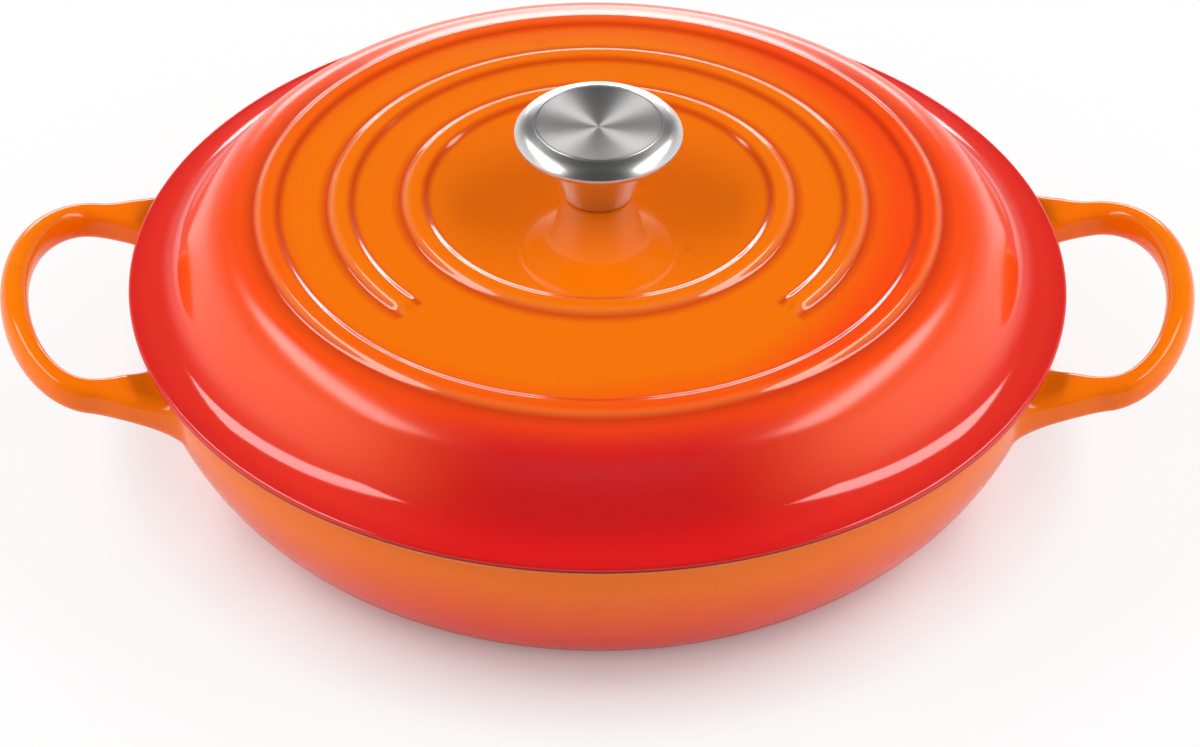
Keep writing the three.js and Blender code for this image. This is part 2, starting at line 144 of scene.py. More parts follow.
paper = add_node(floor_tree, "ShaderNodeMixShader", {0: calc(floor_tree, "ADD", *lightened, clamp=True)})
floor_tree.links.new(floor_shader.outputs[0], paper.inputs[1])
floor_tree.links.new(white.outputs[0], paper.inputs[2])
floor_tree.links.new(paper.outputs[0], floor_tree.nodes["Material Output"].inputs["Surface"])
floor_mesh.materials.append(floor_paint)
print("floor:", 2 * FLOOR_HALF, "m square")

# %% Lamps
POT_MIDDLE = Vector((0, 0, 0.05))
LAMPS = (  # name, place, width, height, brightness, seen in reflections
    ("left_box", (-0.68, 0.1, 0.84), 1.05, 0.25, 6.8, True),
    ("left_fill", (-1.5, -0.3, 0.4), 1.2, 0.6, 2.0, False),
    ("right_box", (0.68, 0.1, 0.84), 1.05, 0.25, 6.8, True),
    ("right_fill", (1.5, -0.3, 0.4), 1.2, 0.6, 2.0, False),
    ("back_strip", (0, 1.3, 0.28), 0.9, 0.24, 6.0, True),
    ("front_fill", (0, -1.4, 1.0), 1.8, 1.0, 1.1, False),
    ("top_fill", (0, 0, 1.8), 2.4, 2.4, 0.12, False),
)


def soft_box(name, place, width, height, brightness, mirrored):
    """A square-edged lamp of even brightness aimed at the pot, where 1 is the brightness of lit white paper."""
    lamp = bpy.data.lights.new(name, "AREA")
    lamp.shape = "RECTANGLE"
    lamp.size = width
    lamp.size_y = height
    lamp.energy = math.pi * width * height * brightness
    holder = bpy.data.objects.new(name, lamp)
    holder.location = place
    holder.rotation_euler = (POT_MIDDLE - Vector(place)).to_track_quat("-Z", "Y").to_euler()
    holder.visible_camera = False
    holder.visible_glossy = mirrored
    scene.collection.objects.link(holder)


for lamp in LAMPS:
    soft_box(*lamp)

# %% Walls and ceiling
CEILING_LIGHT = 0.06
HORIZON_LIGHT = 0.45
SIDE_LIGHT = 0.45
SIDE_START, SIDE_FULL = 0.5, 0.95
HORIZON_END, HORIZON_FULL = 0.45, 0.15
FRONT_DARK, FRONT_END = -0.6, -0.1

world = scene.world or bpy.data.worlds.new("studio")
scene.world = world
world.use_nodes = True
room = world.node_tree
ray = add_node(room, "ShaderNodeTexCoord").outputs["Generated"]
ray_axes = add_node(room, "ShaderNodeSeparateXYZ", {0: ray}).outputs
sideways = calc(room, "ABSOLUTE", ray_axes["X"])
walls = map_range(room, sideways, SIDE_START, SIDE_FULL, high=SIDE_LIGHT, smooth=True)
horizon = map_range(room, ray_axes["Z"], HORIZON_END, HORIZON_FULL, high=HORIZON_LIGHT, smooth=True)
horizon = calc(room, "MULTIPLY", horizon, map_range(room, ray_axes["Y"], FRONT_DARK, FRONT_END, smooth=True))
brightness = calc(room, "ADD", calc(room, "ADD", walls, horizon), CEILING_LIGHT)
room.links.new(brightness, room.nodes["Background"].inputs["Color"])
scene.view_settings.view_transform = "Standard"
print("room:", len(room.nodes), "nodes")

# %% [markdown]
# ## The camera
# The lid's edge and its rings are circles seen as ellipses, and they hardly shrink with distance. Together they fix
# where the camera stood: far back, looking 37 degrees down through a long lens.

# %% Camera
CAMERA_BACK = 2.3444
CAMERA_HEIGHT = 1.7838
CAMERA_DOWN = math.radians(36.9)
CAMERA_SIDE = math.radians(0.8)
CAMERA_TURN = math.radians(0.021)
CAMERA_ROLL = math.radians(0.37)
LENS = 300
SENSOR = 36

lens = bpy.data.cameras.new("camera")
lens.lens = LENS
lens.sensor_fit = "HORIZONTAL"
lens.sensor_width = SENSOR
camera = bpy.data.objects.new("camera", lens)
tilt = Matrix.Rotation(math.pi / 2 - CAMERA_DOWN, 4, "X")
camera.matrix_world = (
    Matrix.Rotation(-CAMERA_SIDE, 4, "Z")
    @ Matrix.Translation((0, -CAMERA_BACK, CAMERA_HEIGHT))
    @ Matrix.Rotation(-CAMERA_TURN, 4, "Z")
    @ tilt
    @ Matrix.Rotation(CAMERA_ROLL, 4, "Z")
)
scene.collection.objects.link(camera)
scene.camera = camera
print("camera", CAMERA_BACK, "m back,", CAMERA_HEIGHT, "m up, lens", LENS, "mm")

# %% [markdown]
# ## What all enamel shares
# Enamel is glass melted onto iron. Up close it is never quite flat: it has slow waves, and a few pinhead specks where
# a bubble rose. One node group gives those, so that the outside and the lining can share it at their own strengths.

# %% Kiln surface group
SPECK_EDGE, SPECK_CORE = 0.16, 0.06
SPECK_LOT = 0.8


def kiln_surface_group():
    """Waves, specks and cloudy shading of fired enamel, on the piece's own coordinates."""
    group = bpy.data.node_groups.new("Kiln surface", "ShaderNodeTree")
    given, result = add_sockets(
        group,
        {"Wave length": "Float", "Speck spacing": "Float", "Cloud size": "Float"},
        {"Waves": "Float", "Specks": "Float", "Cloud": "Float"},
    )
    place = add_node(group, "ShaderNodeTexCoord").outputs["Object"]
    per_metre = [calc(group, "DIVIDE", 1.0, socket) for socket in given.outputs[:3]]
    waves = add_node(group, "ShaderNodeTexNoise", {"Vector": place, "Scale": per_metre[0], "Detail": 1.0})
    cloud = add_node(group, "ShaderNodeTexNoise", {"Vector": place, "Scale": per_metre[2], "Detail": 3.0})
    dots = add_node(group, "ShaderNodeTexVoronoi", {"Vector": place, "Scale": per_metre[1]})
    dot = map_range(group, dots.outputs["Distance"], SPECK_EDGE, SPECK_CORE)
    lot = add_node(group, "ShaderNodeSeparateColor", {0: dots.outputs["Color"]}).outputs[0]
    chosen = calc(group, "GREATER_THAN", lot, SPECK_LOT)
    group.links.new(waves.outputs[0], result.inputs["Waves"])
    group.links.new(calc(group, "MULTIPLY", dot, chosen), result.inputs["Specks"])
    group.links.new(cloud.outputs[0], result.inputs["Cloud"])
    return group


KILN_SURFACE = kiln_surface_group()
print("group:", KILN_SURFACE.name, [item.name for item in KILN_SURFACE.interface.items_tree])

# %% [markdown]
# ## Shaded enamel
# The outside is sprayed twice: orange all over, then red from the edge, so that one fades into the other. A colour
# ramp does the fading. On the lid it follows the distance from the middle, on the pot the height, and clouds in the
# kiln group keep the fade from being a perfect circle. On the lid the ramp's middle sits 4 mm to the left, and on the
# right side the fade comes further in. The deeper red on the front of the lid's dome is painted shade, for the dark
# room the dome mirrors there, and the near-black red under the lid's edge is a painted shadow of the gap over the
# rim. The glaze runs thin on edges, which come out a little paler, and pools in hollows, which come out darker; on
# the lid's rings these paler and darker lines are partly a painted highlight and painted shade.

# %% Enamel helpers
# Thin crests and pooled hollows: partly the glaze itself, partly a painted highlight on the crest and painted shade at
# the feet.
THIN_CREST_AND_HIGHLIGHT = (0.5, (0.95, 0.26, 0.05))
POOLED_GLAZE_AND_SHADE = (0.75, (0.58, 0.022, 0.004))
BUBBLE_SPECK = (0.12, (0.40, 0.04, 0.01))
UNEVEN_GLOSS = (0.8, 1.2)
ENAMEL_SIZES = (9 * MM, 14 * MM, 60 * MM)
ENAMEL_WAVES = 0.015 * MM
ENAMEL_IOR = 1.52


def off_axis(tree, place):
    """A point's X, Y and Z, and its distance from the upright axis."""
    axes = add_node(tree, "ShaderNodeSeparateXYZ", {0: place}).outputs
    flat = add_node(tree, "ShaderNodeCombineXYZ", {0: axes["X"], 1: axes["Y"]})
    return axes, length(tree, flat.outputs[0])


def turn_from_front(tree, axes):
    """How far round the upright axis a point is from the front, to either side."""
    front = calc(tree, "MULTIPLY", axes["Y"], -1.0)
    return calc(tree, "ABSOLUTE", calc(tree, "ARCTAN2", axes["X"], front))


def fade(tree, value, band):
    """0 before a band, 1 past it, and a smooth change across it."""
    return map_range(tree, value, *band, smooth=True)


def colour_ramp(tree, along, end, stops):
    """A colour that changes along a length in metres up to an end, through stops of (millimetres, colour)."""
    ramp = add_node(tree, "ShaderNodeValToRGB", {0: calc(tree, "DIVIDE", along, end)})
    elements = ramp.color_ramp.elements
    while len(elements) < len(stops):
        elements.new(1.0)
    for element, (stop, colour) in zip(elements, stops):
        element.position = stop * MM / end
        element.color = (*colour, 1)
    return ramp.outputs[0]


def mix_colour(tree, share, first, second):
    """Two colours mixed by a share; each is an output or three numbers."""
    ends = [end if isinstance(end, bpy.types.NodeSocket) else (*end, 1) for end in (first, second)]
    return add_node(tree, "ShaderNodeMix", {0: share, 6: ends[0], 7: ends[1]}, data_type="RGBA").outputs[2]


def kiln(tree, wave, speck, cloud):
    """The kiln group placed in a material, with its three sizes in metres."""
    sizes = {"Wave length": wave, "Speck spacing": speck, "Cloud size": cloud}
    return add_node(tree, "ShaderNodeGroup", sizes, node_tree=KILN_SURFACE).outputs


def cloud_drift(tree, glaze, size):
    """How far the clouds push a fade to and fro, within a size."""
    return calc(tree, "MULTIPLY", calc(tree, "SUBTRACT", glaze["Cloud"], 0.5), size)


def dress(tree, shader, colour, roughness, height, depth):
    """Lead a colour, a roughness and a height that stands for a depth in metres into a shader."""
    bumps = add_node(tree, "ShaderNodeBump", {"Height": height, "Distance": depth, "Strength": 1.0})
    for output, name in ((colour, "Base Color"), (roughness, "Roughness"), (bumps.outputs["Normal"], "Normal")):
        tree.links.new(output, shader.inputs[name])


def finish_enamel(tree, shader, colour, glaze, gloss):
    """What lid and pot share: crests and hollows with painted highlight and shade, specks, waves and an uneven gloss.
    """
    crest_and_highlight, pool = (
        add_node(tree, "ShaderNodeAttribute", attribute_name=name).outputs["Fac"] for name in ("crest_and_highlight", "pool")
    )
    for mark, (share, tone) in ((crest_and_highlight, THIN_CREST_AND_HIGHLIGHT), (pool, POOLED_GLAZE_AND_SHADE), (glaze["Specks"], BUBBLE_SPECK)):
        colour = mix_colour(tree, calc(tree, "MULTIPLY", mark, share), colour, tone)
    uneven = map_range(tree, glaze["Cloud"], 0.0, 1.0, *UNEVEN_GLOSS)
    dress(tree, shader, colour, calc(tree, "MULTIPLY", gloss, uneven), glaze["Waves"], ENAMEL_WAVES)
    shader.inputs["IOR"].default_value = ENAMEL_IOR


# %% Lid enamel
ORANGE = (0.92, 0.175, 0.0005)
CORAL = (0.95, 0.072, 0.004)
# Painted shade: a deeper red for the front of the dome, standing in for the dark room it mirrors there.
FRONT_SHADE_RED = (0.72, 0.010, 0.011)
RED = (0.86, 0.034, 0.018)
RIM_RED = (0.72, 0.022, 0.016)
# Painted shadow: a near-black red under the lid's edge, for the dark gap over the pot's rim.
EDGE_SHADOW_RED = (0.20, 0.010, 0.006)
LID_RAMP_END = 140 * MM
LID_STOPS = ((60, ORANGE), (84, ORANGE), (102, CORAL), (140, CORAL))
RAMP_LEFT = 4 * MM
SPRAY_DRIFT = 12 * MM
RIGHT_PUSH = 12 * MM
RIGHT_PUSH_BAND = (30 * MM, 85 * MM)
RED_BAND = (118 * MM, 126 * MM)
RIM_BAND = (129 * MM, 136 * MM)
FRONT_SHADE_TURN = (math.radians(42), math.radians(12))
FRONT_SHADE_BAND = (97 * MM, 114 * MM)
EDGE_SHADOW_BAND = (56.8 * MM, 56.2 * MM)
SATIN_BAND = (101 * MM, 107 * MM)
GLASSY_BAND = (115 * MM, 120 * MM)
LID_GLOSS = 0.09
SATIN_GLOSS = 0.13
LID_SPECULAR = 0.5
EDGE_SPECULAR_LOSS = 0.4

lid_enamel, lid_tree, lid_shader = new_material("lid_enamel")
lid_glaze = kiln(lid_tree, *ENAMEL_SIZES)
axes, radius = off_axis(lid_tree, add_node(lid_tree, "ShaderNodeTexCoord").outputs["Object"])
# The ramp's middle sits 4 mm to the left, and on the right side the fade comes up to 12 mm further in.
across = calc(lid_tree, "ADD", axes["X"], RAMP_LEFT)
off_centre = add_node(lid_tree, "ShaderNodeCombineXYZ", {0: across, 1: axes["Y"]})
right_push = calc(lid_tree, "MULTIPLY", fade(lid_tree, axes["X"], RIGHT_PUSH_BAND), RIGHT_PUSH)
drift = calc(lid_tree, "ADD", cloud_drift(lid_tree, lid_glaze, SPRAY_DRIFT), right_push)
reach = calc(lid_tree, "ADD", length(lid_tree, off_centre.outputs[0]), drift)
lid_colour = colour_ramp(lid_tree, reach, LID_RAMP_END, LID_STOPS)
# Painted shade: the front of the dome turns a deeper red, for the dark room it mirrors towards the front.
front = fade(lid_tree, turn_from_front(lid_tree, axes), FRONT_SHADE_TURN)
painted_front_shade = calc(lid_tree, "MULTIPLY", front, fade(lid_tree, radius, FRONT_SHADE_BAND))
# Painted shadow: the lower half of the lid's edge turns near-black red and mirrors less, for the dark gap over the rim.
painted_edge_shadow = fade(lid_tree, axes["Z"], EDGE_SHADOW_BAND)
for share, colour in (
    (fade(lid_tree, radius, RED_BAND), RED),
    (fade(lid_tree, radius, RIM_BAND), RIM_RED),
    (painted_front_shade, FRONT_SHADE_RED),
    (painted_edge_shadow, EDGE_SHADOW_RED),
):
    lid_colour = mix_colour(lid_tree, share, lid_colour, colour)
glossy_again = calc(lid_tree, "SUBTRACT", 1.0, fade(lid_tree, radius, GLASSY_BAND))
satin = calc(lid_tree, "MULTIPLY", fade(lid_tree, radius, SATIN_BAND), glossy_again)
lid_gloss = calc(lid_tree, "ADD", calc(lid_tree, "MULTIPLY", satin, SATIN_GLOSS), LID_GLOSS)
sheen = calc(lid_tree, "SUBTRACT", LID_SPECULAR, calc(lid_tree, "MULTIPLY", painted_edge_shadow, EDGE_SPECULAR_LOSS))
lid_tree.links.new(sheen, lid_shader.inputs["Specular IOR Level"])
finish_enamel(lid_tree, lid_shader, lid_colour, lid_glaze, lid_gloss)
print("lid enamel:", len(lid_tree.nodes), "nodes")

# %% Pot enamel
POT_ORANGE = (0.94, 0.165, 0.001)
HANDLE_ORANGE = (0.95, 0.205, 0.001)
POT_RED = (0.82, 0.034, 0.012)
POT_RAMP_END = 65 * MM
POT_STOPS = ((0, POT_RED), (17, POT_RED), (45, POT_ORANGE), (50, POT_ORANGE), (60, HANDLE_ORANGE))
POT_DRIFT = 10 * MM
POT_GLOSS = 0.08
POT_SPECULAR = 0.28

pot_enamel, pot_tree, pot_shader = new_material("pot_enamel")
pot_glaze = kiln(pot_tree, *ENAMEL_SIZES)
place = add_node(pot_tree, "ShaderNodeTexCoord").outputs["Object"]
height = add_node(pot_tree, "ShaderNodeSeparateXYZ", {0: place}).outputs["Z"]
height = calc(pot_tree, "ADD", height, cloud_drift(pot_tree, pot_glaze, POT_DRIFT))
pot_colour = colour_ramp(pot_tree, height, POT_RAMP_END, POT_STOPS)
finish_enamel(pot_tree, pot_shader, pot_colour, pot_glaze, POT_GLOSS)
pot_shader.inputs["Specular IOR Level"].default_value = POT_SPECULAR
print("pot enamel:", len(pot_tree.nodes), "nodes")

# %% [markdown]
# ## Lining and bare iron
# The inside is a single coat of sand-coloured enamel with fine dark specks. The rim and the seat of the lid carry no
# colour: they get only a thin dark ground coat, matt and slightly rough, because a glossy edge would chip.

# %% Lining and bare rim
SAND_SIZES = (7 * MM, 2.6 * MM, 40 * MM)
SAND_TONES = ((0.74, 0.66, 0.52), (0.83, 0.77, 0.65))
SAND_SPECK = (0.30, 0.22, 0.14)
SAND_SPECK_SHARE = 0.6
SAND_ROUGHNESS = (0.12, 0.22)
SAND_WAVES = 0.03 * MM
IRON_SIZES = (0.7 * MM, 1.6 * MM, 12 * MM)
IRON_TONES = ((0.020, 0.018, 0.017), (0.055, 0.048, 0.043))
IRON_ROUGHNESS = (0.42, 0.65)
IRON_GRAIN = 0.05 * MM

lining, lining_tree, lining_shader = new_material("sand_lining")
lining_glaze = kiln(lining_tree, *SAND_SIZES)
sand = mix_colour(lining_tree, lining_glaze["Cloud"], *SAND_TONES)
flecks = calc(lining_tree, "MULTIPLY", lining_glaze["Specks"], SAND_SPECK_SHARE)
sand = mix_colour(lining_tree, flecks, sand, SAND_SPECK)
satin = map_range(lining_tree, lining_glaze["Cloud"], 0.0, 1.0, *SAND_ROUGHNESS)
dress(lining_tree, lining_shader, sand, satin, lining_glaze["Waves"], SAND_WAVES)

bare_rim, rim_tree, rim_shader = new_material("bare_rim")
rim_glaze = kiln(rim_tree, *IRON_SIZES)
iron = mix_colour(rim_tree, rim_glaze["Cloud"], *IRON_TONES)
matt = map_range(rim_tree, rim_glaze["Waves"], 0.0, 1.0, *IRON_ROUGHNESS)
dress(rim_tree, rim_shader, iron, matt, rim_glaze["Waves"], IRON_GRAIN)
print("lining and rim:", len(lining_tree.nodes), "and", len(rim_tree.nodes), "nodes")

# %% [markdown]
# ## Turned steel
# The knob's top is spun in a lathe against an abrasive, which leaves fine rings round its middle. They spread a
# reflection sideways into the bow-tie seen on any pan lid. The shader's anisotropy with a radial tangent does that,
# and a node group draws the rings themselves from a one-dimensional noise over the distance from the axis.

# %% Turned lines group
HEIGHT_WEIGHT = -0.8
BANDS_PER_LINE = 0.12


def turned_lines_group():
    """Fine rings round the Z axis, as left by a lathe."""
    group = bpy.data.node_groups.new("Turned lines", "ShaderNodeTree")
    given, result = add_sockets(group, {"Line width": "Float"}, {"Lines": "Float", "Bands": "Float"})
    axes, radius = off_axis(group, add_node(group, "ShaderNodeTexCoord").outputs["Object"])
    travel = calc(group, "ADD", radius, calc(group, "MULTIPLY", axes["Z"], HEIGHT_WEIGHT))
    steps = calc(group, "DIVIDE", travel, given.outputs["Line width"])
    wide_steps = calc(group, "MULTIPLY", steps, BANDS_PER_LINE)
    for name, along, detail in (("Lines", steps, 3.0), ("Bands", wide_steps, 1.0)):
        noise = {"W": along, "Scale": 1.0, "Detail": detail}
        lines = add_node(group, "ShaderNodeTexNoise", noise, noise_dimensions="1D")
        group.links.new(lines.outputs[0], result.inputs[name])
    return group


TURNED_LINES = turned_lines_group()
print("group:", TURNED_LINES.name, len(TURNED_LINES.nodes), "nodes")

# %% Steels
ACROSS_THE_LINES = 0.25


def turned_steel(name, line_width, depth, tones, roughness, anisotropy):
    """Steel with rings from a lathe: dark and light tone, roughness from and to, and how far it smears."""
    material, tree, shader = new_material(name)
    group = add_node(tree, "ShaderNodeGroup", {"Line width": line_width}, node_tree=TURNED_LINES).outputs
    rough = map_range(tree, group["Bands"], 0.0, 1.0, *roughness)
    dress(tree, shader, mix_colour(tree, group["Lines"], *tones), rough, group["Lines"], depth)
    shader.inputs["Metallic"].default_value = 1.0
    shader.inputs["Anisotropic"].default_value = anisotropy
    shader.inputs["Anisotropic Rotation"].default_value = ACROSS_THE_LINES
    round_axis = add_node(tree, "ShaderNodeTangent", direction_type="RADIAL", axis="Z")
    tree.links.new(round_axis.outputs[0], shader.inputs["Tangent"])
    return material


disc_steel = turned_steel(
    "turned_disc", line_width=0.22 * MM, depth=0.002 * MM,
    tones=((0.62, 0.61, 0.60), (0.76, 0.75, 0.74)), roughness=(0.48, 0.54), anisotropy=0.82,
)
bright_steel = turned_steel(
    "polished_steel", line_width=0.35 * MM, depth=0.0004 * MM,
    tones=((0.72, 0.71, 0.70), (0.80, 0.79, 0.78)), roughness=(0.28, 0.34), anisotropy=0.4,
)
plated_steel = turned_steel(
    "plated_steel", line_width=0.4 * MM, depth=0.004 * MM,
    tones=((0.50, 0.50, 0.49), (0.62, 0.62, 0.60)), roughness=(0.26, 0.38), anisotropy=0.2,
)
print("steels:", disc_steel.name, bright_steel.name, plated_steel.name)

# %% [markdown]
# ## Turning an outline
# Bowl, lid, knob and washers are all turned shapes: one outline carried round an axis. A Screw modifier could do it,
# but a Geometry Nodes tree can also carry a finish number for each stretch of the outline, and later raise the lid's
# rings. The tree bends a flat grid: its rows look up the outline's points, its columns are angles, and the seam and
# the poles are merged shut. The outline runs anticlockwise, from the bottom outwards, so faces come out facing out.

# %% Outlines
SAME_POINT = 0.002 * MM
FEWEST_ARC_STEPS = 4


def rounded(corners, turn=math.radians(9)):
    """Points through corners (radius, height, rounding), with each rounding as an arc of small turns."""
    points = []
    for i, corner in enumerate(corners):
        here = np.array(corner[:2], float)
        if len(corner) < 3 or not corner[2]:
            points.append(here)
            continue
        back = np.array(corners[i - 1][:2], float) - here
        ahead = np.array(corners[i + 1][:2], float) - here
        back /= np.linalg.norm(back)
        ahead /= np.linalg.norm(ahead)
        half = math.acos(np.clip(back @ ahead, -1, 1)) / 2
        middle = here + (back + ahead) / np.linalg.norm(back + ahead) * corner[2] / math.sin(half)
        start = here + back * corner[2] / math.tan(half) - middle
        end = here + ahead * corner[2] / math.tan(half) - middle
        sweep = math.copysign(math.pi - 2 * half, start[0] * end[1] - start[1] * end[0])
        steps = max(FEWEST_ARC_STEPS, math.ceil(abs(sweep) / turn))
        for angle in np.linspace(0, sweep, steps + 1):
            cosine, sine = math.cos(angle), math.sin(angle)
            points.append(middle + [start[0] * cosine - start[1] * sine, start[0] * sine + start[1] * cosine])
    return np.array(points)


def spaced(points, gap):
    """The same line with points added, so that no step is longer than a gap."""
    filled = [points[0]]
    for start, end in zip(points[:-1], points[1:]):
        steps = max(1, math.ceil(np.linalg.norm(end - start) / gap))
        filled.extend(start + (end - start) * k / steps for k in range(1, steps + 1))
    return np.array(filled)


def outline_mesh(name, stretches):
    """A line of points in the XZ plane from (points, finish) stretches, with the finish kept for each step."""
    points, finishes = [], []
    for stretch, finish in stretches:
        for here in stretch:
            if points and np.linalg.norm(points[-1] - here) < SAME_POINT:
                finishes[-1] = finish
                continue
            points.append(here)
            finishes.append(finish)
    mesh = bpy.data.meshes.new(name)
    edges = [(i, i + 1) for i in range(len(points) - 1)]
    mesh.from_pydata([(radius, 0, height) for radius, height in points], edges, [])
    mesh.attributes.new("finish", "INT", "POINT").data.foreach_set("value", finishes)
    return mesh


# %% Turning tree
OUTSIDE, BARE, INSIDE = 0, 1, 2
FINISHES = {"Outside": OUTSIDE, "Bare": BARE, "Inside": INSIDE}
SEAM_GAP = 0.001 * MM


def turning_group():
    """Carry an outline round the Z axis, and keep each step's finish number on its faces."""
    tree = bpy.data.node_groups.new("Turning", "GeometryNodeTree")
    given, result = add_sockets(tree, {"Outline": "Geometry", "Steps round": "Int"}, {"Surface": "Geometry"})
    outline = given.outputs["Outline"]
    rows = add_node(tree, "GeometryNodeAttributeDomainSize", {0: outline}, component="MESH").outputs["Point Count"]
    columns = calc(tree, "ADD", given.outputs["Steps round"], 1)
    grid = add_node(tree, "GeometryNodeMeshGrid", {"Vertices X": columns, "Vertices Y": rows})
    place = add_node(tree, "GeometryNodeInputPosition").outputs[0]
    flat = add_node(tree, "ShaderNodeSeparateXYZ", {0: place})
    turn = calc(tree, "MULTIPLY", calc(tree, "ADD", flat.outputs["X"], 0.5), 2 * math.pi)
    row = calc(tree, "MULTIPLY", calc(tree, "ADD", flat.outputs["Y"], 0.5), calc(tree, "SUBTRACT", rows, 1))
    step = add_node(tree, "FunctionNodeFloatToInt", {0: row}, rounding_mode="FLOOR").outputs[0]
    finish = add_node(tree, "GeometryNodeInputNamedAttribute", {"Name": "finish"}, data_type="INT").outputs[0]
    finish_here = add_node(
        tree, "GeometryNodeSampleIndex", {"Geometry": outline, "Value": finish, "Index": step}, data_type="INT"
    )
    kept = add_node(
        tree,
        "GeometryNodeStoreNamedAttribute",
        {"Geometry": grid.outputs[0], "Name": "finish", "Value": finish_here.outputs[0]},
        data_type="INT",
        domain="FACE",
    )
    nearest = add_node(tree, "FunctionNodeFloatToInt", {0: row}, rounding_mode="ROUND").outputs[0]
    point = add_node(
        tree,
        "GeometryNodeSampleIndex",
        {"Geometry": outline, "Value": place, "Index": nearest},
        data_type="FLOAT_VECTOR",
    )
    section = add_node(tree, "ShaderNodeSeparateXYZ", {0: point.outputs[0]})
    radius = section.outputs["X"]
    round_x = calc(tree, "MULTIPLY", radius, calc(tree, "COSINE", turn))
    round_y = calc(tree, "MULTIPLY", radius, calc(tree, "SINE", turn))
    bent = add_node(tree, "ShaderNodeCombineXYZ", {0: round_x, 1: round_y, 2: section.outputs["Z"]})
    turned = add_node(tree, "GeometryNodeSetPosition", {0: kept.outputs[0], "Position": bent.outputs[0]})
    merged = add_node(tree, "GeometryNodeMergeByDistance", {0: turned.outputs[0], "Distance": SEAM_GAP})
    smooth = add_node(tree, "GeometryNodeSetShadeSmooth", {0: merged.outputs[0]})
    tree.links.new(smooth.outputs[0], result.inputs[0])
    return tree


def end_with_finishes(tree, geometry, given, result):
    """Close a tree with Realize Instances and one Set Material for each finish number."""
    geometry = add_node(tree, "GeometryNodeRealizeInstances", {0: geometry}).outputs[0]
    for name, number in FINISHES.items():
        finish = add_node(tree, "GeometryNodeInputNamedAttribute", {"Name": "finish"}, data_type="INT").outputs[0]
        here = add_node(tree, "FunctionNodeCompare", {2: finish, 3: number}, data_type="INT", operation="EQUAL")
        geometry = add_node(
            tree,
            "GeometryNodeSetMaterial",
            {0: geometry, "Selection": here.outputs[0], "Material": given.outputs[name]},
        ).outputs[0]
    tree.links.new(geometry, result.inputs[0])


TURNING = turning_group()


def start_turned_tree(name, sizes=()):
    """A tree that turns its outline, with inputs for its sizes and finishes; also returns the turned surface."""
    tree = bpy.data.node_groups.new(name, "GeometryNodeTree")
    inputs = {"Outline": "Geometry", "Steps round": "Int"}
    inputs.update({size: "Float" for size in sizes})
    inputs.update({finish: "Material" for finish in FINISHES})
    given, result = add_sockets(tree, inputs, {"Piece": "Geometry"})
    handed_on = {key: given.outputs[key] for key in ("Outline", "Steps round")}
    return tree, given, result, add_node(tree, "GeometryNodeGroup", handed_on, node_tree=TURNING).outputs[0]


turned_piece, given, result, surface = start_turned_tree("Turned piece")
end_with_finishes(turned_piece, surface, given, result)
print("trees:", TURNING.name, "and", turned_piece.name)

# %% Run a tree and keep a plain mesh
def evaluated(holder):
    """A plain mesh of an object with its modifiers applied."""
    depsgraph = bpy.context.evaluated_depsgraph_get()
    return bpy.data.meshes.new_from_object(holder.evaluated_get(depsgraph), depsgraph=depsgraph)


def grow(name, mesh, tree, **values):
    """Run a tree on a mesh, and return the result as a plain mesh object with no modifier left."""
    draft = bpy.data.objects.new(name + "_draft", mesh)
    scene.collection.objects.link(draft)
    modifier = draft.modifiers.new("tree", "NODES")
    modifier.node_group = tree
    for item in tree.interface.items_tree:
        key = item.name.lower().replace(" ", "_")
        if item.in_out == "INPUT" and key in values:
            modifier[item.identifier] = values[key]
    grown = evaluated(draft)
    bpy.data.objects.remove(draft)
    return keep(name, grown)


def keep(name, mesh):
    """Put a finished mesh in the scene as a piece, and print its size."""
    mesh.name = name
    piece = bpy.data.objects.new(name, mesh)
    scene.collection.objects.link(piece)
    points = np.array([vertex.co for vertex in mesh.vertices])
    size = (points.max(0) - points.min(0)) / MM
    triangles = sum(len(face.vertices) - 2 for face in mesh.polygons)
    print(f"{name}: {size[0]:.1f} x {size[1]:.1f} x {size[2]:.1f} mm, {triangles} triangles")
    return piece


def turn_piece(name, stretches, steps, outside, bare, inside):
    """A turned piece from the (points, finish) stretches of its outline, and its three finishes."""
    outline = outline_mesh(name + "_outline", stretches)
    return grow(name, outline, turned_piece, steps_round=steps, outside=outside, bare=bare, inside=inside)


def place_piece(piece, body, node):
    """Attach the piece to the body it moves with, and hide the CAD solid it stands for."""
    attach(piece, body)
    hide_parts(node)


# %% [markdown]
# ## The bowl
# The pot is one casting: a flat ring to stand on, a side that swings up from it in one sweep, a rounded rim. The side
# is a single Bezier curve, and the inner wall is the same curve moved in by the iron's thickness, as the pattern maker
# would draw it. The floor runs into the wall through a wide fillet.

# %% Bowl outline
RIM_RADIUS = 133 * MM
POT_HEIGHT = 55 * MM
WALL = 4 * MM
RIM_ROUND = 1.4 * MM
FOOT_RADIUS = 98.5 * MM
FOOT_WIDTH = 16 * MM
FOOT_RECESS = 0.8 * MM
FLOOR_HEIGHT = 5.2 * MM
FLOOR_FILLET = 14 * MM
SIDE_LIFT = 13 * MM
SIDE_LIFT_ANGLE = math.radians(20)
SIDE_UPRIGHT = 29 * MM
SIDE_STEPS = 60
FILLET_STEPS = 14
FILLET_PULL = 2 / 3


def bezier(start, leave, arrive, end, steps):
    """Points along a cubic Bezier curve."""
    t = np.linspace(0, 1, steps + 1)[:, None]
    start, leave, arrive, end = (np.array(corner, float) for corner in (start, leave, arrive, end))
    return (1 - t) ** 3 * start + 3 * (1 - t) ** 2 * t * leave + 3 * (1 - t) * t**2 * arrive + t**3 * end


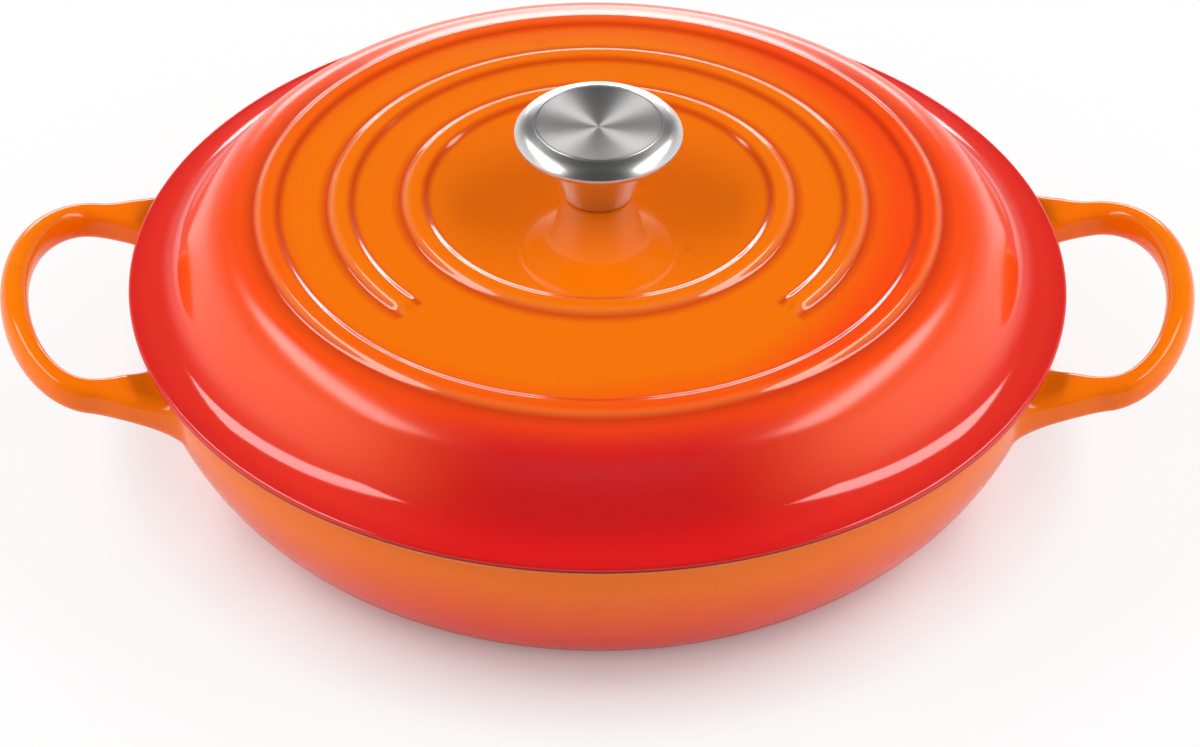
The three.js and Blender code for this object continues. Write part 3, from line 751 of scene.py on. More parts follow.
leave = (FOOT_RADIUS + SIDE_LIFT * math.cos(SIDE_LIFT_ANGLE), SIDE_LIFT * math.sin(SIDE_LIFT_ANGLE))
arrive = (RIM_RADIUS, POT_HEIGHT - SIDE_UPRIGHT)
side = bezier((FOOT_RADIUS, 0), leave, arrive, (RIM_RADIUS, POT_HEIGHT), SIDE_STEPS)
along_side = np.gradient(side, axis=0)
along_side /= np.linalg.norm(along_side, axis=1)[:, None]
inner_side = side + WALL * np.stack([-along_side[:, 1], along_side[:, 0]], axis=1)

corner = np.array([np.interp(FLOOR_HEIGHT, inner_side[:, 1], inner_side[:, 0]), FLOOR_HEIGHT])
wall_line = inner_side[inner_side[:, 1] > FLOOR_HEIGHT]
wall_line = wall_line[np.linalg.norm(wall_line - corner, axis=1) > FLOOR_FILLET]
fillet_ends = corner - [FLOOR_FILLET, 0], wall_line[0]
fillet_pulls = [end + (corner - end) * FILLET_PULL for end in fillet_ends]
fillet = bezier(fillet_ends[0], *fillet_pulls, fillet_ends[1], FILLET_STEPS)
print("fillet from", round(fillet[0, 0] / MM, 1), "to", round(fillet[-1, 0] / MM, 1), "mm from the axis")

# %% Bowl
BOWL_STEPS = 360
BOWL_GAP = 2.5 * MM
FOOT_ROUND = 1 * MM
RIM_LEAD = 0.5 * MM
POINT_CLEAR = 0.1 * MM

rim_foot = POT_HEIGHT - RIM_ROUND
inner_radius = RIM_RADIUS - WALL
outer_line = np.concatenate([
    rounded([
        (0, FOOT_RECESS),
        (FOOT_RADIUS - FOOT_WIDTH - FOOT_RECESS, FOOT_RECESS, FOOT_ROUND),
        (FOOT_RADIUS - FOOT_WIDTH, 0, FOOT_ROUND),
        (FOOT_RADIUS - FOOT_ROUND, 0),
    ]),
    side[(side[:, 1] > POINT_CLEAR) & (side[:, 1] < rim_foot)],
])
rim_line = rounded([
    (RIM_RADIUS, rim_foot - RIM_LEAD),
    (RIM_RADIUS, POT_HEIGHT, RIM_ROUND),
    (inner_radius, POT_HEIGHT, RIM_ROUND),
    (inner_radius, rim_foot - RIM_LEAD),
])
under_rim = wall_line[wall_line[:, 1] < rim_foot - RIM_LEAD - POINT_CLEAR]
inner_line = np.concatenate([rim_line[-1:], under_rim[::-1], fillet[::-1], [(0, FLOOR_HEIGHT)]])
bowl_stretches = [
    (spaced(outer_line, BOWL_GAP), OUTSIDE),
    (rim_line, BARE),
    (spaced(inner_line, BOWL_GAP), INSIDE),
]
bowl = turn_piece("bowl", bowl_stretches, BOWL_STEPS, pot_enamel, bare_rim, lining)
place_piece(bowl, "pot", "pot")

# %% [markdown]
# ## The handles
# Each handle is a loop cast with the bowl: two arms that spread towards the wall, and half an oval between them that
# rises to its end. It is drawn as two edges in plan, and a bar of rounded section is lofted between them. The casting
# has generous fillets where the arms leave the wall. So each line along the bar is led onto the wall by a Hermite
# curve that arrives flat against it, which a boolean join with a bevel would not do as softly.

# %% Handle edges
HANDLE_TIP = 174 * MM
LOOP_CENTRE = 147 * MM
LOOP_HALF = 47.2 * MM
GRIP_WIDTH = 8.4 * MM
ARM_WIDTH = 8.4 * MM
ARM_FLARE = 0.5
FLARE_ROUND = 6 * MM
ARM_LENGTH = 9 * MM
OVAL_STATIONS = 40
ARM_STATIONS = 8


def handle_edge(reach, half, flare):
    """One edge of half a loop in plan: a quarter of an oval from the tip, then an arm that spreads."""
    turns = np.linspace(0, math.pi / 2, OVAL_STATIONS + 1)
    oval = np.column_stack([LOOP_CENTRE + reach * np.cos(turns), half * np.sin(turns)])
    inward = np.linspace(0, ARM_LENGTH, ARM_STATIONS + 1)[1:]
    spread = flare * (np.hypot(inward, FLARE_ROUND) - FLARE_ROUND)
    return np.concatenate([oval, np.column_stack([LOOP_CENTRE - inward, half + spread])])


oval_reach = HANDLE_TIP - LOOP_CENTRE
outer_edge = handle_edge(oval_reach, LOOP_HALF, ARM_FLARE)
inner_edge = handle_edge(oval_reach - GRIP_WIDTH, LOOP_HALF - ARM_WIDTH, -ARM_FLARE)
print("handle tip at", round(outer_edge[0, 0] / MM, 2), "mm, arms", round(2 * outer_edge[-1, 1] / MM, 1), "mm apart")

# %% Handle sections
HANDLE_TOP = 52.5 * MM
HANDLE_RISE = 6.3 * MM
RISE_START = 136.5 * MM
HANDLE_THICKNESS = 9.9 * MM
ROOT_SQUARENESS = 0.62
GRIP_SQUARENESS = 0.85
SECTION_POINTS = 44
ROOT_STEPS = 18
FOOTPRINT_TURN = math.radians(19)
FOOTPRINT_OUT = 16 * MM
FOOTPRINT_IN = 15 * MM
FOOTPRINT_UP = 5.5 * MM
FOOTPRINT_DOWN = 13 * MM
ROOT_PULL = 13 * MM
WALL_PULL = 16 * MM
ROOT_SINK = 1.5 * MM

section_turns = 2 * math.pi * (np.arange(SECTION_POINTS) + 0.5) / SECTION_POINTS


def squarish(squareness):
    """Across and up shares round a bar's section, where 1 is an ellipse and less is squarer."""
    waves = np.cos(section_turns), np.sin(section_turns)
    return [np.sign(wave) * np.abs(wave) ** squareness for wave in waves]


def wall_frame(turn, height):
    """A point on the bowl's outer wall with its sideways, upward and outward directions."""
    radius = np.interp(height, side[:, 1], side[:, 0])
    above, below = (np.interp(height + step, side[:, 1], side[:, 0]) for step in (MM, -MM))
    lean = (above - below) / (2 * MM)
    outward = np.array([math.cos(turn), math.sin(turn), 0])
    sideways = np.array([-math.sin(turn), math.cos(turn), 0])
    upward = outward * lean + [0, 0, 1]
    upward /= np.linalg.norm(upward)
    return outward * radius + [0, 0, height], sideways, upward, np.cross(sideways, upward)


across_share, up_share = squarish(ROOT_SQUARENESS)
middle_height = HANDLE_TOP - HANDLE_THICKNESS / 2


def bar_section(outer, inner):
    """The bar's ring of points between a point of its outer edge and one of its inner edge."""
    middle, half = (outer + inner) / 2, (outer - inner) / 2
    beyond = max(0, middle[0] - RISE_START) / (HANDLE_TIP - GRIP_WIDTH / 2 - RISE_START)
    across, up = squarish(ROOT_SQUARENESS + (GRIP_SQUARENESS - ROOT_SQUARENESS) * min(1, 2 * beyond))
    height = middle_height + HANDLE_RISE * beyond**2
    return np.column_stack([middle + across[:, None] * half, height + up * HANDLE_THICKNESS / 2])


loop = [bar_section(outer, inner) for outer, inner in zip(outer_edge, inner_edge)]
print("half a loop:", len(loop), "sections of", SECTION_POINTS, "points")

# %% Handle roots and loft
def root_rings(last, before):
    """Rings that lead the bar's lines from its last section onto the wall, and then just under it."""
    leaving = last - before
    leaving /= np.linalg.norm(leaving, axis=1)[:, None]
    landing, arriving, sunk = [], [], []
    for across, up in zip(across_share, up_share):
        beside = across * (FOOTPRINT_OUT if across > 0 else FOOTPRINT_IN)
        above = up * (FOOTPRINT_UP if up > 0 else FOOTPRINT_DOWN)
        point, sideways, upward, outward = wall_frame(FOOTPRINT_TURN + beside / RIM_RADIUS, middle_height + above)
        spread = sideways * beside + upward * above
        landing.append(point)
        arriving.append(spread / np.linalg.norm(spread))
        sunk.append(point - outward * ROOT_SINK)
    landing, arriving = np.array(landing), np.array(arriving)
    rings = []
    for t in np.linspace(0, 1, ROOT_STEPS + 1)[1:]:
        rings.append(
            (2 * t**3 - 3 * t**2 + 1) * last
            + (t**3 - 2 * t**2 + t) * ROOT_PULL * leaving
            + (3 * t**2 - 2 * t**3) * landing
            + (t**3 - t**2) * WALL_PULL * arriving
        )
    return rings, np.array(sunk)


def volume(mesh):
    """The volume inside a mesh, negative where its faces point inwards."""
    total = 0.0
    for face in mesh.polygons:
        corners = [mesh.vertices[i].co for i in face.vertices]
        for b, c in zip(corners[1:-1], corners[2:]):
            total += corners[0].dot(b.cross(c)) / 6
    return total


def lofted(name, rings, material, smooth=True):
    """A closed mesh through rings of points, with both ends capped and its faces pointing outwards."""
    count = len(rings[0])
    faces = [
        (a * count + k, a * count + (k + 1) % count, (a + 1) * count + (k + 1) % count, (a + 1) * count + k)
        for a in range(len(rings) - 1)
        for k in range(count)
    ]
    faces.append(tuple(range(count))[::-1])
    faces.append(tuple(range((len(rings) - 1) * count, len(rings) * count)))
    mesh = bpy.data.meshes.new(name)
    mesh.from_pydata(np.concatenate(rings).tolist(), [], faces)
    mesh.polygons.foreach_set("use_smooth", [smooth] * len(mesh.polygons))
    mesh.materials.append(material)
    if volume(mesh) < 0:
        mesh.flip_normals()
    return mesh


root, sunk = root_rings(loop[-1], loop[-2])
half_loop = [*loop, *root, sunk]
handle_rings = [ring * (1, -1, 1) for ring in half_loop[:0:-1]] + half_loop
wall_rings = {1, len(handle_rings) - 2}

for name, signs in (("handle_right", (1, 1, 1)), ("handle_left", (-1, -1, 1))):
    mesh = lofted(name, [ring * signs for ring in handle_rings], pot_enamel)
    for edge in mesh.edges:
        rows = {vertex // SECTION_POINTS for vertex in edge.vertices}
        edge.use_edge_sharp = len(rows) == 1 and rows <= wall_rings
    place_piece(keep(name, mesh), "pot", "pot")

# %% [markdown]
# ## The lid
# The lid is a second turned casting: a gently arched crown, a steep dome, a hollow cove and a narrow flange that hangs
# over the rim. Underneath it has a skirt that drops into the pot and a boss for the knob's screw. Its three raised
# rings follow a rule, so the tree raises them: each ring is a flat-topped ridge round its own circle. The middle ring
# is broken at the front, and there the distance is taken to its rounded end. The tree also marks each ring's upper
# edge and its two feet, for a paler line and darker lines there: partly glaze that runs thin on the edge and pools at
# the feet, partly a painted highlight and painted shade.

# %% Lid outline
LID_RADIUS = 136.5 * MM
LID_WALL = 3.8 * MM
SEAT = 55.3 * MM
CROWN_TOP = 88.8 * MM
CROWN_RADIUS = 760 * MM
DOME_ANGLE = math.radians(58)
SHOULDER_RADIUS = 15 * MM
COVE_RADIUS = 12 * MM
FLANGE_SLOPE = math.radians(10)
EDGE_ROUND = 1.2 * MM
SKIRT_RADIUS = 126.8 * MM
SKIRT_WIDTH = 4.2 * MM
SKIRT_DEPTH = 4 * MM
BOSS_RADIUS = 12 * MM
BOSS_DEPTH = 2 * MM
SCREW_HOLE = 3.4 * MM
SKIRT_INNER = SKIRT_RADIUS - SKIRT_WIDTH
BOSS_HEIGHT = CROWN_TOP - LID_WALL - BOSS_DEPTH


def crown(radius):
    """Height of the lid's gently arched top."""
    return CROWN_TOP - radius**2 / (2 * CROWN_RADIUS)


def shoulder(depth):
    """The corner between crown and dome, both moved in by a depth, with its rounding."""
    slope = math.tan(DOME_ANGLE)
    foot = SKIRT_INNER + (LID_WALL - depth) / math.sin(DOME_ANGLE)
    drop = SEAT + slope * foot - CROWN_TOP + depth
    radius = CROWN_RADIUS * (slope - math.sqrt(slope**2 - 2 * drop / CROWN_RADIUS))
    return radius, crown(radius) - depth, SHOULDER_RADIUS - depth


def cove():
    """The corner between dome and flange, with its rounding."""
    slope, steep = math.tan(FLANGE_SLOPE), math.tan(DOME_ANGLE)
    foot = SKIRT_INNER + LID_WALL / math.sin(DOME_ANGLE)
    rise = 2 * EDGE_ROUND + slope * (LID_RADIUS - EDGE_ROUND - foot)
    radius = foot - rise / (steep - slope)
    return radius, SEAT + (foot - radius) * steep, COVE_RADIUS


RING_COUNT = 3
BROKEN_RING = 1
RING_MARGIN = 6.7 * MM
RING_SPACING = 21.4 * MM
RING_WIDTH = 8.2 * MM
RING_HEIGHT = 1.4 * MM
RING_FLAT = 0.28
RING_BREAK = math.radians(92)
shoulder_reach = SHOULDER_RADIUS * math.tan(DOME_ANGLE / 2)
OUTER_RING = shoulder(0)[0] - shoulder_reach - RING_MARGIN
MIDDLE_RING = OUTER_RING - RING_SPACING
INNER_RING = OUTER_RING - 2 * RING_SPACING
ring_radii = [INNER_RING + k * RING_SPACING for k in range(RING_COUNT)]
print("rings at", [round(radius / MM, 1) for radius in ring_radii], "mm")

# %% Raised ring tree
INNER_EASE = 0.3
OUTER_EDGE = 0.6
INNER_FOOT = -0.85
OUTER_FOOT = 0.95
LINE_REACH = 0.45


def ridge_group():
    """How high a raised ring stands at each point: a smooth ridge round its circle, with a gap at the front."""
    tree = bpy.data.node_groups.new("Raised ring", "GeometryNodeTree")
    given, result = add_sockets(
        tree,
        {name: "Float" for name in ("Ring radius", "Ring width", "Ring height", "Flat share", "Half gap")},
        {"Height": "Float", "Pale": "Float", "Dark": "Float"},
    )
    axes, radius = off_axis(tree, add_node(tree, "GeometryNodeInputPosition").outputs[0])
    angle = turn_from_front(tree, axes)
    half = calc(tree, "MULTIPLY", given.outputs["Ring width"], 0.5)
    past_gap = calc(tree, "MULTIPLY", calc(tree, "SUBTRACT", angle, given.outputs["Half gap"]), radius)
    short = calc(tree, "MINIMUM", calc(tree, "SUBTRACT", past_gap, half), 0.0)
    beside = calc(tree, "SUBTRACT", radius, given.outputs["Ring radius"])
    apart = add_node(tree, "ShaderNodeCombineXYZ", {0: short, 1: beside})
    distance = length(tree, apart.outputs[0])
    inside = calc(tree, "LESS_THAN", beside, 0.0)
    reach = calc(tree, "MULTIPLY", half, calc(tree, "ADD", calc(tree, "MULTIPLY", inside, INNER_EASE), 1.0))
    past_flat = calc(tree, "SUBTRACT", calc(tree, "DIVIDE", distance, reach), given.outputs["Flat share"])
    flank = calc(tree, "SUBTRACT", 1.0, given.outputs["Flat share"])
    share = calc(tree, "DIVIDE", past_flat, flank, clamp=True)
    wave = calc(tree, "COSINE", calc(tree, "MULTIPLY", share, math.pi))
    swell = calc(tree, "MULTIPLY", calc(tree, "ADD", wave, 1.0), 0.5)
    tree.links.new(calc(tree, "MULTIPLY", swell, given.outputs["Ring height"]), result.inputs["Height"])
    along = calc(tree, "GREATER_THAN", past_gap, 0.0)
    # A pale line by the outer edge and dark lines at both feet: partly thin and pooled glaze, partly painted highlight
    # and painted shade.
    lines = []
    for place_on_flank in (OUTER_EDGE, INNER_FOOT, OUTER_FOOT):
        off_line = calc(tree, "SUBTRACT", calc(tree, "DIVIDE", beside, half), place_on_flank)
        off_line = calc(tree, "DIVIDE", calc(tree, "ABSOLUTE", off_line), LINE_REACH)
        near = calc(tree, "SUBTRACT", 1.0, off_line, clamp=True)
        lines.append(calc(tree, "MULTIPLY", near, along))
    tree.links.new(lines[0], result.inputs["Pale"])
    tree.links.new(calc(tree, "ADD", lines[1], lines[2]), result.inputs["Dark"])
    return tree


RAISED_RING = ridge_group()
print("ring tree:", len(RAISED_RING.nodes), "nodes")

# %% Lid tree
SHARED_RING_INPUTS = ("Ring width", "Ring height", "Flat share")
RING_INPUTS = ("Inner ring", "Ring spacing", "Half gap", *SHARED_RING_INPUTS)
NO_GAP = -1.0
FACING_UP = 0.5

lid_piece, given, result, marked = start_turned_tree("Ringed lid", RING_INPUTS)
totals = {"Height": 0.0, "Pale": 0.0, "Dark": 0.0}
for number in range(RING_COUNT):
    outwards = calc(lid_piece, "MULTIPLY", given.outputs["Ring spacing"], number)
    ring_inputs = {name: given.outputs[name] for name in SHARED_RING_INPUTS}
    ring_inputs["Ring radius"] = calc(lid_piece, "ADD", given.outputs["Inner ring"], outwards)
    ring_inputs["Half gap"] = given.outputs["Half gap"] if number == BROKEN_RING else NO_GAP
    ring = add_node(lid_piece, "GeometryNodeGroup", ring_inputs, node_tree=RAISED_RING)
    for name in totals:
        totals[name] = calc(lid_piece, "ADD", totals[name], ring.outputs[name])
facing = add_node(lid_piece, "GeometryNodeInputNormal").outputs[0]
upward = add_node(lid_piece, "ShaderNodeSeparateXYZ", {0: facing}).outputs["Z"]
on_top = calc(lid_piece, "GREATER_THAN", upward, FACING_UP)
for attribute, name in (("crest_and_highlight", "Pale"), ("pool", "Dark")):
    marked = add_node(
        lid_piece,
        "GeometryNodeStoreNamedAttribute",
        {"Geometry": marked, "Name": attribute, "Value": calc(lid_piece, "MULTIPLY", totals[name], on_top)},
        data_type="FLOAT",
        domain="POINT",
    ).outputs[0]
lift = calc(lid_piece, "MULTIPLY", totals["Height"], on_top)
up = add_node(lid_piece, "ShaderNodeCombineXYZ", {2: lift})
raised = add_node(lid_piece, "GeometryNodeSetPosition", {0: marked, "Offset": up.outputs[0]})
end_with_finishes(lid_piece, raised.outputs[0], given, result)
print("lid tree:", len(lid_piece.nodes), "nodes")

# %% Lid
LID_STEPS = 340
LID_GAP = 2.2 * MM
RING_GAP = 0.4 * MM
BOSS_ROUND = 1 * MM
SEAT_LEAD = 1 * MM

edge = LID_RADIUS - EDGE_ROUND
edge_arc = 0.99 * EDGE_ROUND
under_line = rounded([
    (SCREW_HOLE, BOSS_HEIGHT),
    (BOSS_RADIUS, BOSS_HEIGHT, BOSS_ROUND),
    (BOSS_RADIUS + BOSS_DEPTH, crown(BOSS_RADIUS) - LID_WALL, BOSS_ROUND),
    (MIDDLE_RING, crown(MIDDLE_RING) - LID_WALL),
    shoulder(LID_WALL),
    (SKIRT_INNER, SEAT, 2 * MM),
    (SKIRT_INNER, SEAT - SKIRT_DEPTH, EDGE_ROUND / 2),
    (SKIRT_RADIUS, SEAT - SKIRT_DEPTH, EDGE_ROUND / 2),
    (SKIRT_RADIUS, SEAT - SEAT_LEAD),
])
seat_line = rounded([
    (SKIRT_RADIUS, SEAT - SEAT_LEAD),
    (SKIRT_RADIUS, SEAT, 0.6 * MM),
    (edge, SEAT),
])
dome_line = rounded([
    (edge, SEAT),
    (LID_RADIUS, SEAT, edge_arc),
    (LID_RADIUS, SEAT + 2 * EDGE_ROUND, edge_arc),
    (edge, SEAT + 2 * EDGE_ROUND),
    cove(),
    shoulder(0),
    (MIDDLE_RING, crown(MIDDLE_RING)),
])
ring_reach = OUTER_RING + RING_WIDTH / 2
flank_reach = RING_WIDTH / 2 * (1 + INNER_EASE) + RING_GAP
crown_radii = [ring_reach]
while crown_radii[-1] > SCREW_HOLE:
    here = crown_radii[-1]
    near_ring = min(abs(here - radius) for radius in ring_radii) < flank_reach
    crown_radii.append(max(here - (RING_GAP if near_ring else LID_GAP), SCREW_HOLE))
crown_line = np.array([(radius, crown(radius)) for radius in crown_radii])
hole_line = np.array([(SCREW_HOLE, crown(SCREW_HOLE)), (SCREW_HOLE, BOSS_HEIGHT)])
lid_outline = outline_mesh("lid_outline", [
    (spaced(under_line, LID_GAP), INSIDE),
    (spaced(seat_line, LID_GAP), BARE),
    (spaced(dome_line[dome_line[:, 0] > ring_reach + RING_GAP], LID_GAP), OUTSIDE),
    (crown_line, OUTSIDE),
    (spaced(hole_line, LID_GAP), BARE),
])
lid = grow(
    "lid_shell", lid_outline, lid_piece, steps_round=LID_STEPS, inner_ring=INNER_RING, ring_spacing=RING_SPACING,
    ring_width=RING_WIDTH, ring_height=RING_HEIGHT, flat_share=RING_FLAT, half_gap=RING_BREAK / 2,
    outside=lid_enamel, bare=bare_rim, inside=lining,
)
place_piece(lid, "lid", "lid")

# %% [markdown]
# ## Lugs
# Three small pads on the skirt keep the lid in the middle of the pot. They are one shape three times, so a tree puts
# copies of a single pad on points and turns each by its share of the circle.

# %% Lugs
TOUCH_GAP = 0.3 * MM
LUG_COUNT = 3
LUG_HALF = 8 * MM
LUG_OUTSIDE = 128.3 * MM
LUG_BOTTOM = SEAT - SKIRT_DEPTH + EDGE_ROUND / 2
LUG_TOP = SEAT - TOUCH_GAP
LUG_STATIONS = 17
LUG_SQUARENESS = 6
LUG_END = 0.05


def section_at(turn, middle, half):
    """A squarish ring of points round a middle (radius, height), at its turn round the axis."""
    radius, rise = middle[0] + across_share * half[0], middle[1] + up_share * half[1]
    return np.column_stack([radius * math.cos(turn), radius * math.sin(turn), rise])


pad_middle = np.array([(SKIRT_RADIUS - SKIRT_WIDTH / 2 + LUG_OUTSIDE) / 2, (LUG_BOTTOM + LUG_TOP) / 2])
pad_half = np.array([(LUG_OUTSIDE - SKIRT_RADIUS + SKIRT_WIDTH / 2) / 2, (LUG_TOP - LUG_BOTTOM) / 2])
pad_rings = []
for share in np.linspace(-1, 1, LUG_STATIONS):
    size = max(1 - abs(share) ** LUG_SQUARENESS, LUG_END) ** 0.5
    pad_rings.append(section_at(share * LUG_HALF / SKIRT_RADIUS, pad_middle, pad_half * size))
pad_mesh = lofted("pad", pad_rings, lining)

lug_tree = bpy.data.node_groups.new("Lugs round the skirt", "GeometryNodeTree")
given, result = add_sockets(
    lug_tree, {"Pad": "Geometry", "Count": "Int", "First turn": "Float", "Finish": "Material"}, {"Lugs": "Geometry"}
)
points = add_node(lug_tree, "GeometryNodeMeshLine", {"Count": given.outputs["Count"], "Offset": (0, 0, 0)})
number = add_node(lug_tree, "GeometryNodeInputIndex").outputs[0]
step = calc(lug_tree, "DIVIDE", 2 * math.pi, given.outputs["Count"])
turn = calc(lug_tree, "ADD", calc(lug_tree, "MULTIPLY", number, step), given.outputs["First turn"])
spin = add_node(lug_tree, "ShaderNodeCombineXYZ", {2: turn})
copies = add_node(
    lug_tree,
    "GeometryNodeInstanceOnPoints",
    {"Points": points.outputs[0], "Instance": given.outputs["Pad"], "Rotation": spin.outputs[0]},
)
real = add_node(lug_tree, "GeometryNodeRealizeInstances", {0: copies.outputs[0]})
painted = add_node(lug_tree, "GeometryNodeSetMaterial", {0: real.outputs[0], "Material": given.outputs["Finish"]})
lug_tree.links.new(painted.outputs[0], result.inputs[0])
lugs = grow("lid_lugs", pad_mesh, lug_tree, count=LUG_COUNT, first_turn=math.pi / 2, finish=lining)
place_piece(lugs, "lid", "lid")

# %% [markdown]
# ## The knob
# Two steel pressings make the knob. The cap has a turned disc that is slightly dished, a fine groove round it, a bevel
# and an edge rolled under. The stem below is a small trumpet, polished so bright that it mirrors the enamel. Both are
# turned outlines.

# %% Knob cap
KNOB_BASE = 89.1 * MM
KNOB_HEIGHT = 24.7 * MM
KNOB_RADIUS = 24.5 * MM
DISC_RADIUS = 18.5 * MM
BEVEL_RADIUS = 22.4 * MM
BEVEL_DROP = 1 * MM
EDGE_DROP = 3.4 * MM
HEM_DROP = 5 * MM
SKIRT_TUCK = 0.2 * MM
SHEET = 1.3 * MM
GROOVE = 0.3 * MM
DISC_SAG = 1.3 * MM
DISC_LIP = 0.5 * MM
DISC_POINTS = 24
HEM_ROUND = 0.55 * MM
HEM_LEAD = 0.7 * MM
KNOB_STEPS = 160
KNOB_GAP = 0.8 * MM

top = KNOB_BASE + KNOB_HEIGHT
hem = top - HEM_DROP
hem_radius = KNOB_RADIUS - SKIRT_TUCK
over_hem = (hem_radius + 0.3 * SKIRT_TUCK, hem + HEM_LEAD)
cap_under = rounded([
    (0, top - SHEET - DISC_SAG),
    (DISC_RADIUS / 2, top - SHEET - DISC_SAG * 3 / 4, 20 * MM),
    (DISC_RADIUS, top - SHEET, 1 * MM),
    (KNOB_RADIUS - SHEET, top - EDGE_DROP, 0.6 * MM),
    (hem_radius - SHEET, hem, HEM_ROUND),
    (hem_radius, hem, HEM_ROUND),
    over_hem,
])
cap_side = rounded([
    over_hem,
    (KNOB_RADIUS, top - EDGE_DROP, 1.2 * MM),
    (BEVEL_RADIUS, top - BEVEL_DROP, 5 * MM),
    (DISC_RADIUS + GROOVE, top, 0.25 * MM),
    (DISC_RADIUS + GROOVE / 2, top - GROOVE, 0.08 * MM),
    (DISC_RADIUS, top, 0.15 * MM),
    (DISC_RADIUS - DISC_LIP, top),
])
disc_radii = np.linspace(DISC_RADIUS - DISC_LIP, 0, DISC_POINTS)
cap_disc = np.column_stack([disc_radii, top - DISC_SAG * (1 - (disc_radii / disc_radii[0]) ** 2)])
cap_stretches = [
    (spaced(cap_under, KNOB_GAP), INSIDE),
    (spaced(cap_side, KNOB_GAP), BARE),
    (spaced(cap_disc, KNOB_GAP), OUTSIDE),
]
cap = turn_piece("knob_top", cap_stretches, KNOB_STEPS, disc_steel, bright_steel, plated_steel)
place_piece(cap, "lid", "knob_cap")

# %% Knob stem
STEM_RADIUS = 9.9 * MM
STEM_FLARE = 0.3
NECK_DROP = 3.4 * MM
NECK_ROUND = 4 * MM
STEM_FLOOR = 2 * MM
STEM_HOLE = 5.9 * MM
FLANGE_RADIUS = hem_radius - SHEET - TOUCH_GAP


def stem_side(rise):
    """The stem's outer radius at a height above its base."""
    return STEM_RADIUS + STEM_FLARE * rise


neck = hem - KNOB_BASE - NECK_DROP
stem_line = rounded([
    (STEM_HOLE, KNOB_BASE),
    (STEM_RADIUS, KNOB_BASE, 0.5 * MM),
    (stem_side(neck), KNOB_BASE + neck, NECK_ROUND),
    (FLANGE_RADIUS, hem, 0.3 * MM),
    (FLANGE_RADIUS, hem + SHEET, 0.3 * MM),
    (stem_side(neck) - SHEET, KNOB_BASE + neck + SHEET, NECK_ROUND),
    (stem_side(STEM_FLOOR) - SHEET, KNOB_BASE + STEM_FLOOR, 0.5 * MM),
    (STEM_HOLE, KNOB_BASE + STEM_FLOOR),
    (STEM_HOLE, KNOB_BASE),
])
stem_stretches = [(spaced(stem_line, KNOB_GAP), BARE)]
stem = turn_piece("knob_trumpet", stem_stretches, KNOB_STEPS, disc_steel, bright_steel, plated_steel)
place_piece(stem, "lid", "knob_stem")

# %% [markdown]
# ## Screw and washers
# Under the lid a screw with a cross recess holds the knob, over a split washer and a plain washer. They are small,
# but they show when the lid is lifted. The plain washer is turned like the rest. The split one is a lofted ring with a
# gap, as the real spring has. The recess is cut from the turned screw with a boolean.

# %% Washers
WASHER_TOP = BOSS_HEIGHT - TOUCH_GAP
WASHER_RADIUS = 8 * MM
WASHER_THICKNESS = 1.2 * MM
WASHER_EDGE = 0.25 * MM
SPLIT_TOP = WASHER_TOP - WASHER_THICKNESS - TOUCH_GAP
SPLIT_RADIUS = 5.2 * MM
SPLIT_THICKNESS = 1.5 * MM
SPLIT_AT = math.radians(90)
SPLIT_GAP = math.radians(22)
SMALL_STEPS = 96

washer_line = rounded([
    (SCREW_HOLE, WASHER_TOP - WASHER_THICKNESS / 2),
    (SCREW_HOLE, WASHER_TOP - WASHER_THICKNESS, WASHER_EDGE),
    (WASHER_RADIUS, WASHER_TOP - WASHER_THICKNESS, WASHER_EDGE),
    (WASHER_RADIUS, WASHER_TOP, WASHER_EDGE),
    (SCREW_HOLE, WASHER_TOP, WASHER_EDGE),
    (SCREW_HOLE, WASHER_TOP - WASHER_THICKNESS / 2),
])
washer_stretches = [(spaced(washer_line, KNOB_GAP), BARE)]
washer = turn_piece("plain_washer", washer_stretches, SMALL_STEPS, plated_steel, plated_steel, plated_steel)
place_piece(washer, "lid_carrier", "flat_washer")

split_middle = ((SCREW_HOLE + SPLIT_RADIUS) / 2, SPLIT_TOP - SPLIT_THICKNESS / 2)
split_half = ((SPLIT_RADIUS - SCREW_HOLE) / 2, SPLIT_THICKNESS / 2)
split_turns = np.linspace(SPLIT_AT + SPLIT_GAP / 2, SPLIT_AT + 2 * math.pi - SPLIT_GAP / 2, SMALL_STEPS)
split_rings = [section_at(turn, split_middle, split_half) for turn in split_turns]
split_mesh = lofted("split_washer", split_rings, plated_steel)
place_piece(keep("split_washer", split_mesh), "lid", "lock_washer")

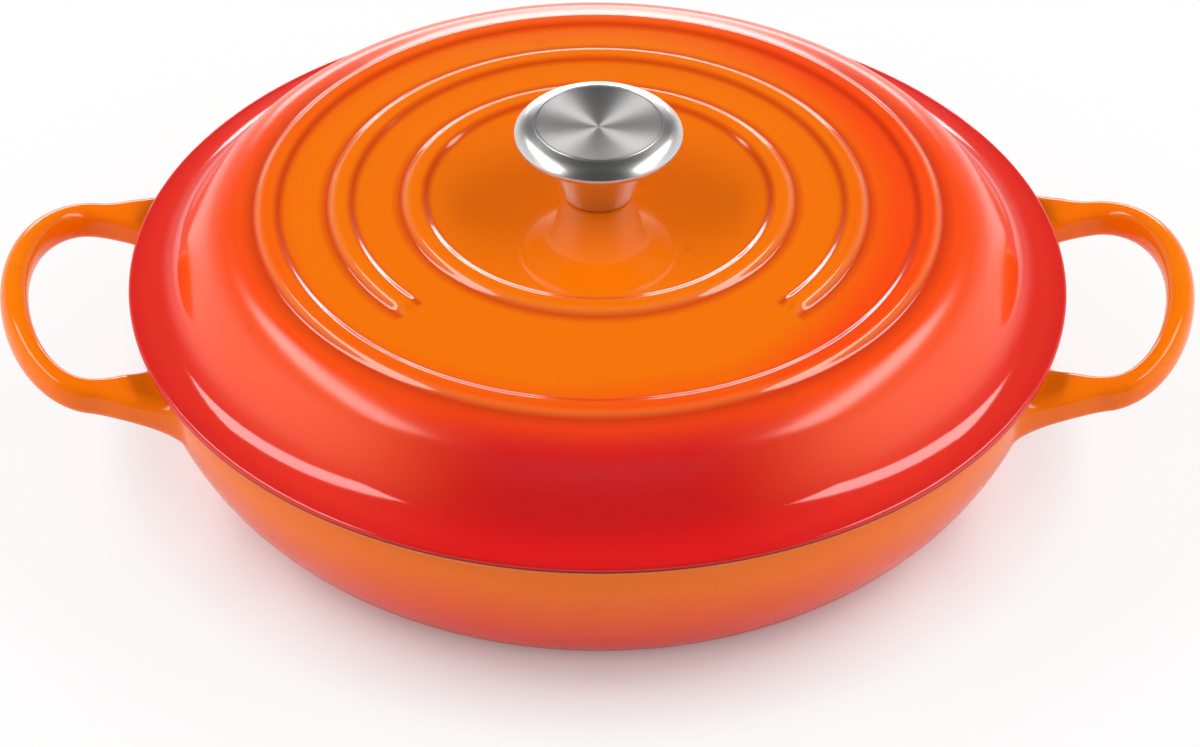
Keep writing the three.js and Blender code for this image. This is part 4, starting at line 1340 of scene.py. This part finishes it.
# %% Screw
SCREW_RADIUS = 2.9 * MM
SCREW_TIP = KNOB_BASE + 8.5 * MM
HEAD_RADIUS = 5.4 * MM
HEAD_TOP = SPLIT_TOP - SPLIT_THICKNESS - TOUCH_GAP
HEAD_HEIGHT = 3.6 * MM
RECESS_LENGTH = 6 * MM
RECESS_WIDTH = 1.4 * MM
RECESS_DEPTH = 2 * MM
RECESS_TAPER = 0.2

head_bottom = HEAD_TOP - HEAD_HEIGHT
screw_line = rounded([
    (0, head_bottom),
    (HEAD_RADIUS, head_bottom, HEAD_HEIGHT / 2),
    (HEAD_RADIUS, HEAD_TOP, 0.3 * MM),
    (SCREW_RADIUS, HEAD_TOP, 0.2 * MM),
    (SCREW_RADIUS, SCREW_TIP - SCREW_RADIUS / 2, 0.3 * MM),
    (SCREW_RADIUS / 2, SCREW_TIP, 0.3 * MM),
    (0, SCREW_TIP),
])
screw_stretches = [(spaced(screw_line, KNOB_GAP), BARE)]
screw = turn_piece("lid_screw", screw_stretches, SMALL_STEPS, plated_steel, plated_steel, plated_steel)

# %% Cross recess
arm, slot_half = RECESS_LENGTH / 2, RECESS_WIDTH / 2
cross, corners = [], [(arm, -slot_half), (arm, slot_half), (slot_half, slot_half)]
for _ in range(4):
    cross += corners
    corners = [(-y, x) for x, y in corners]
cross_rings = [
    np.array([(x * size, y * size, head_bottom + rise) for x, y in cross])
    for size, rise in ((1 + RECESS_TAPER, -RECESS_DEPTH), (1 - RECESS_TAPER, RECESS_DEPTH))
]
cutter = bpy.data.objects.new("cutter", lofted("cutter", cross_rings, plated_steel, smooth=False))
scene.collection.objects.link(cutter)
cut = screw.modifiers.new("recess", "BOOLEAN")
cut.object = cutter
cut.solver = "EXACT"
cut_mesh = evaluated(screw)
screw.modifiers.remove(cut)
screw.data = cut_mesh
bpy.data.objects.remove(cutter)
print("screw with its recess:", len(cut_mesh.polygons), "faces")
place_piece(screw, "lid", "knob_screw")

# %% [markdown]
# ## The bush stays as it is
# The threaded bush inside the stem is hidden at every pose, and its CAD shape is right, so it only gets a finish.

# %% Bush
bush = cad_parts["knob_insert"]
bush.data.materials.clear()
bush.data.materials.append(plated_steel)
print("bush finish:", bush.data.materials[0].name)
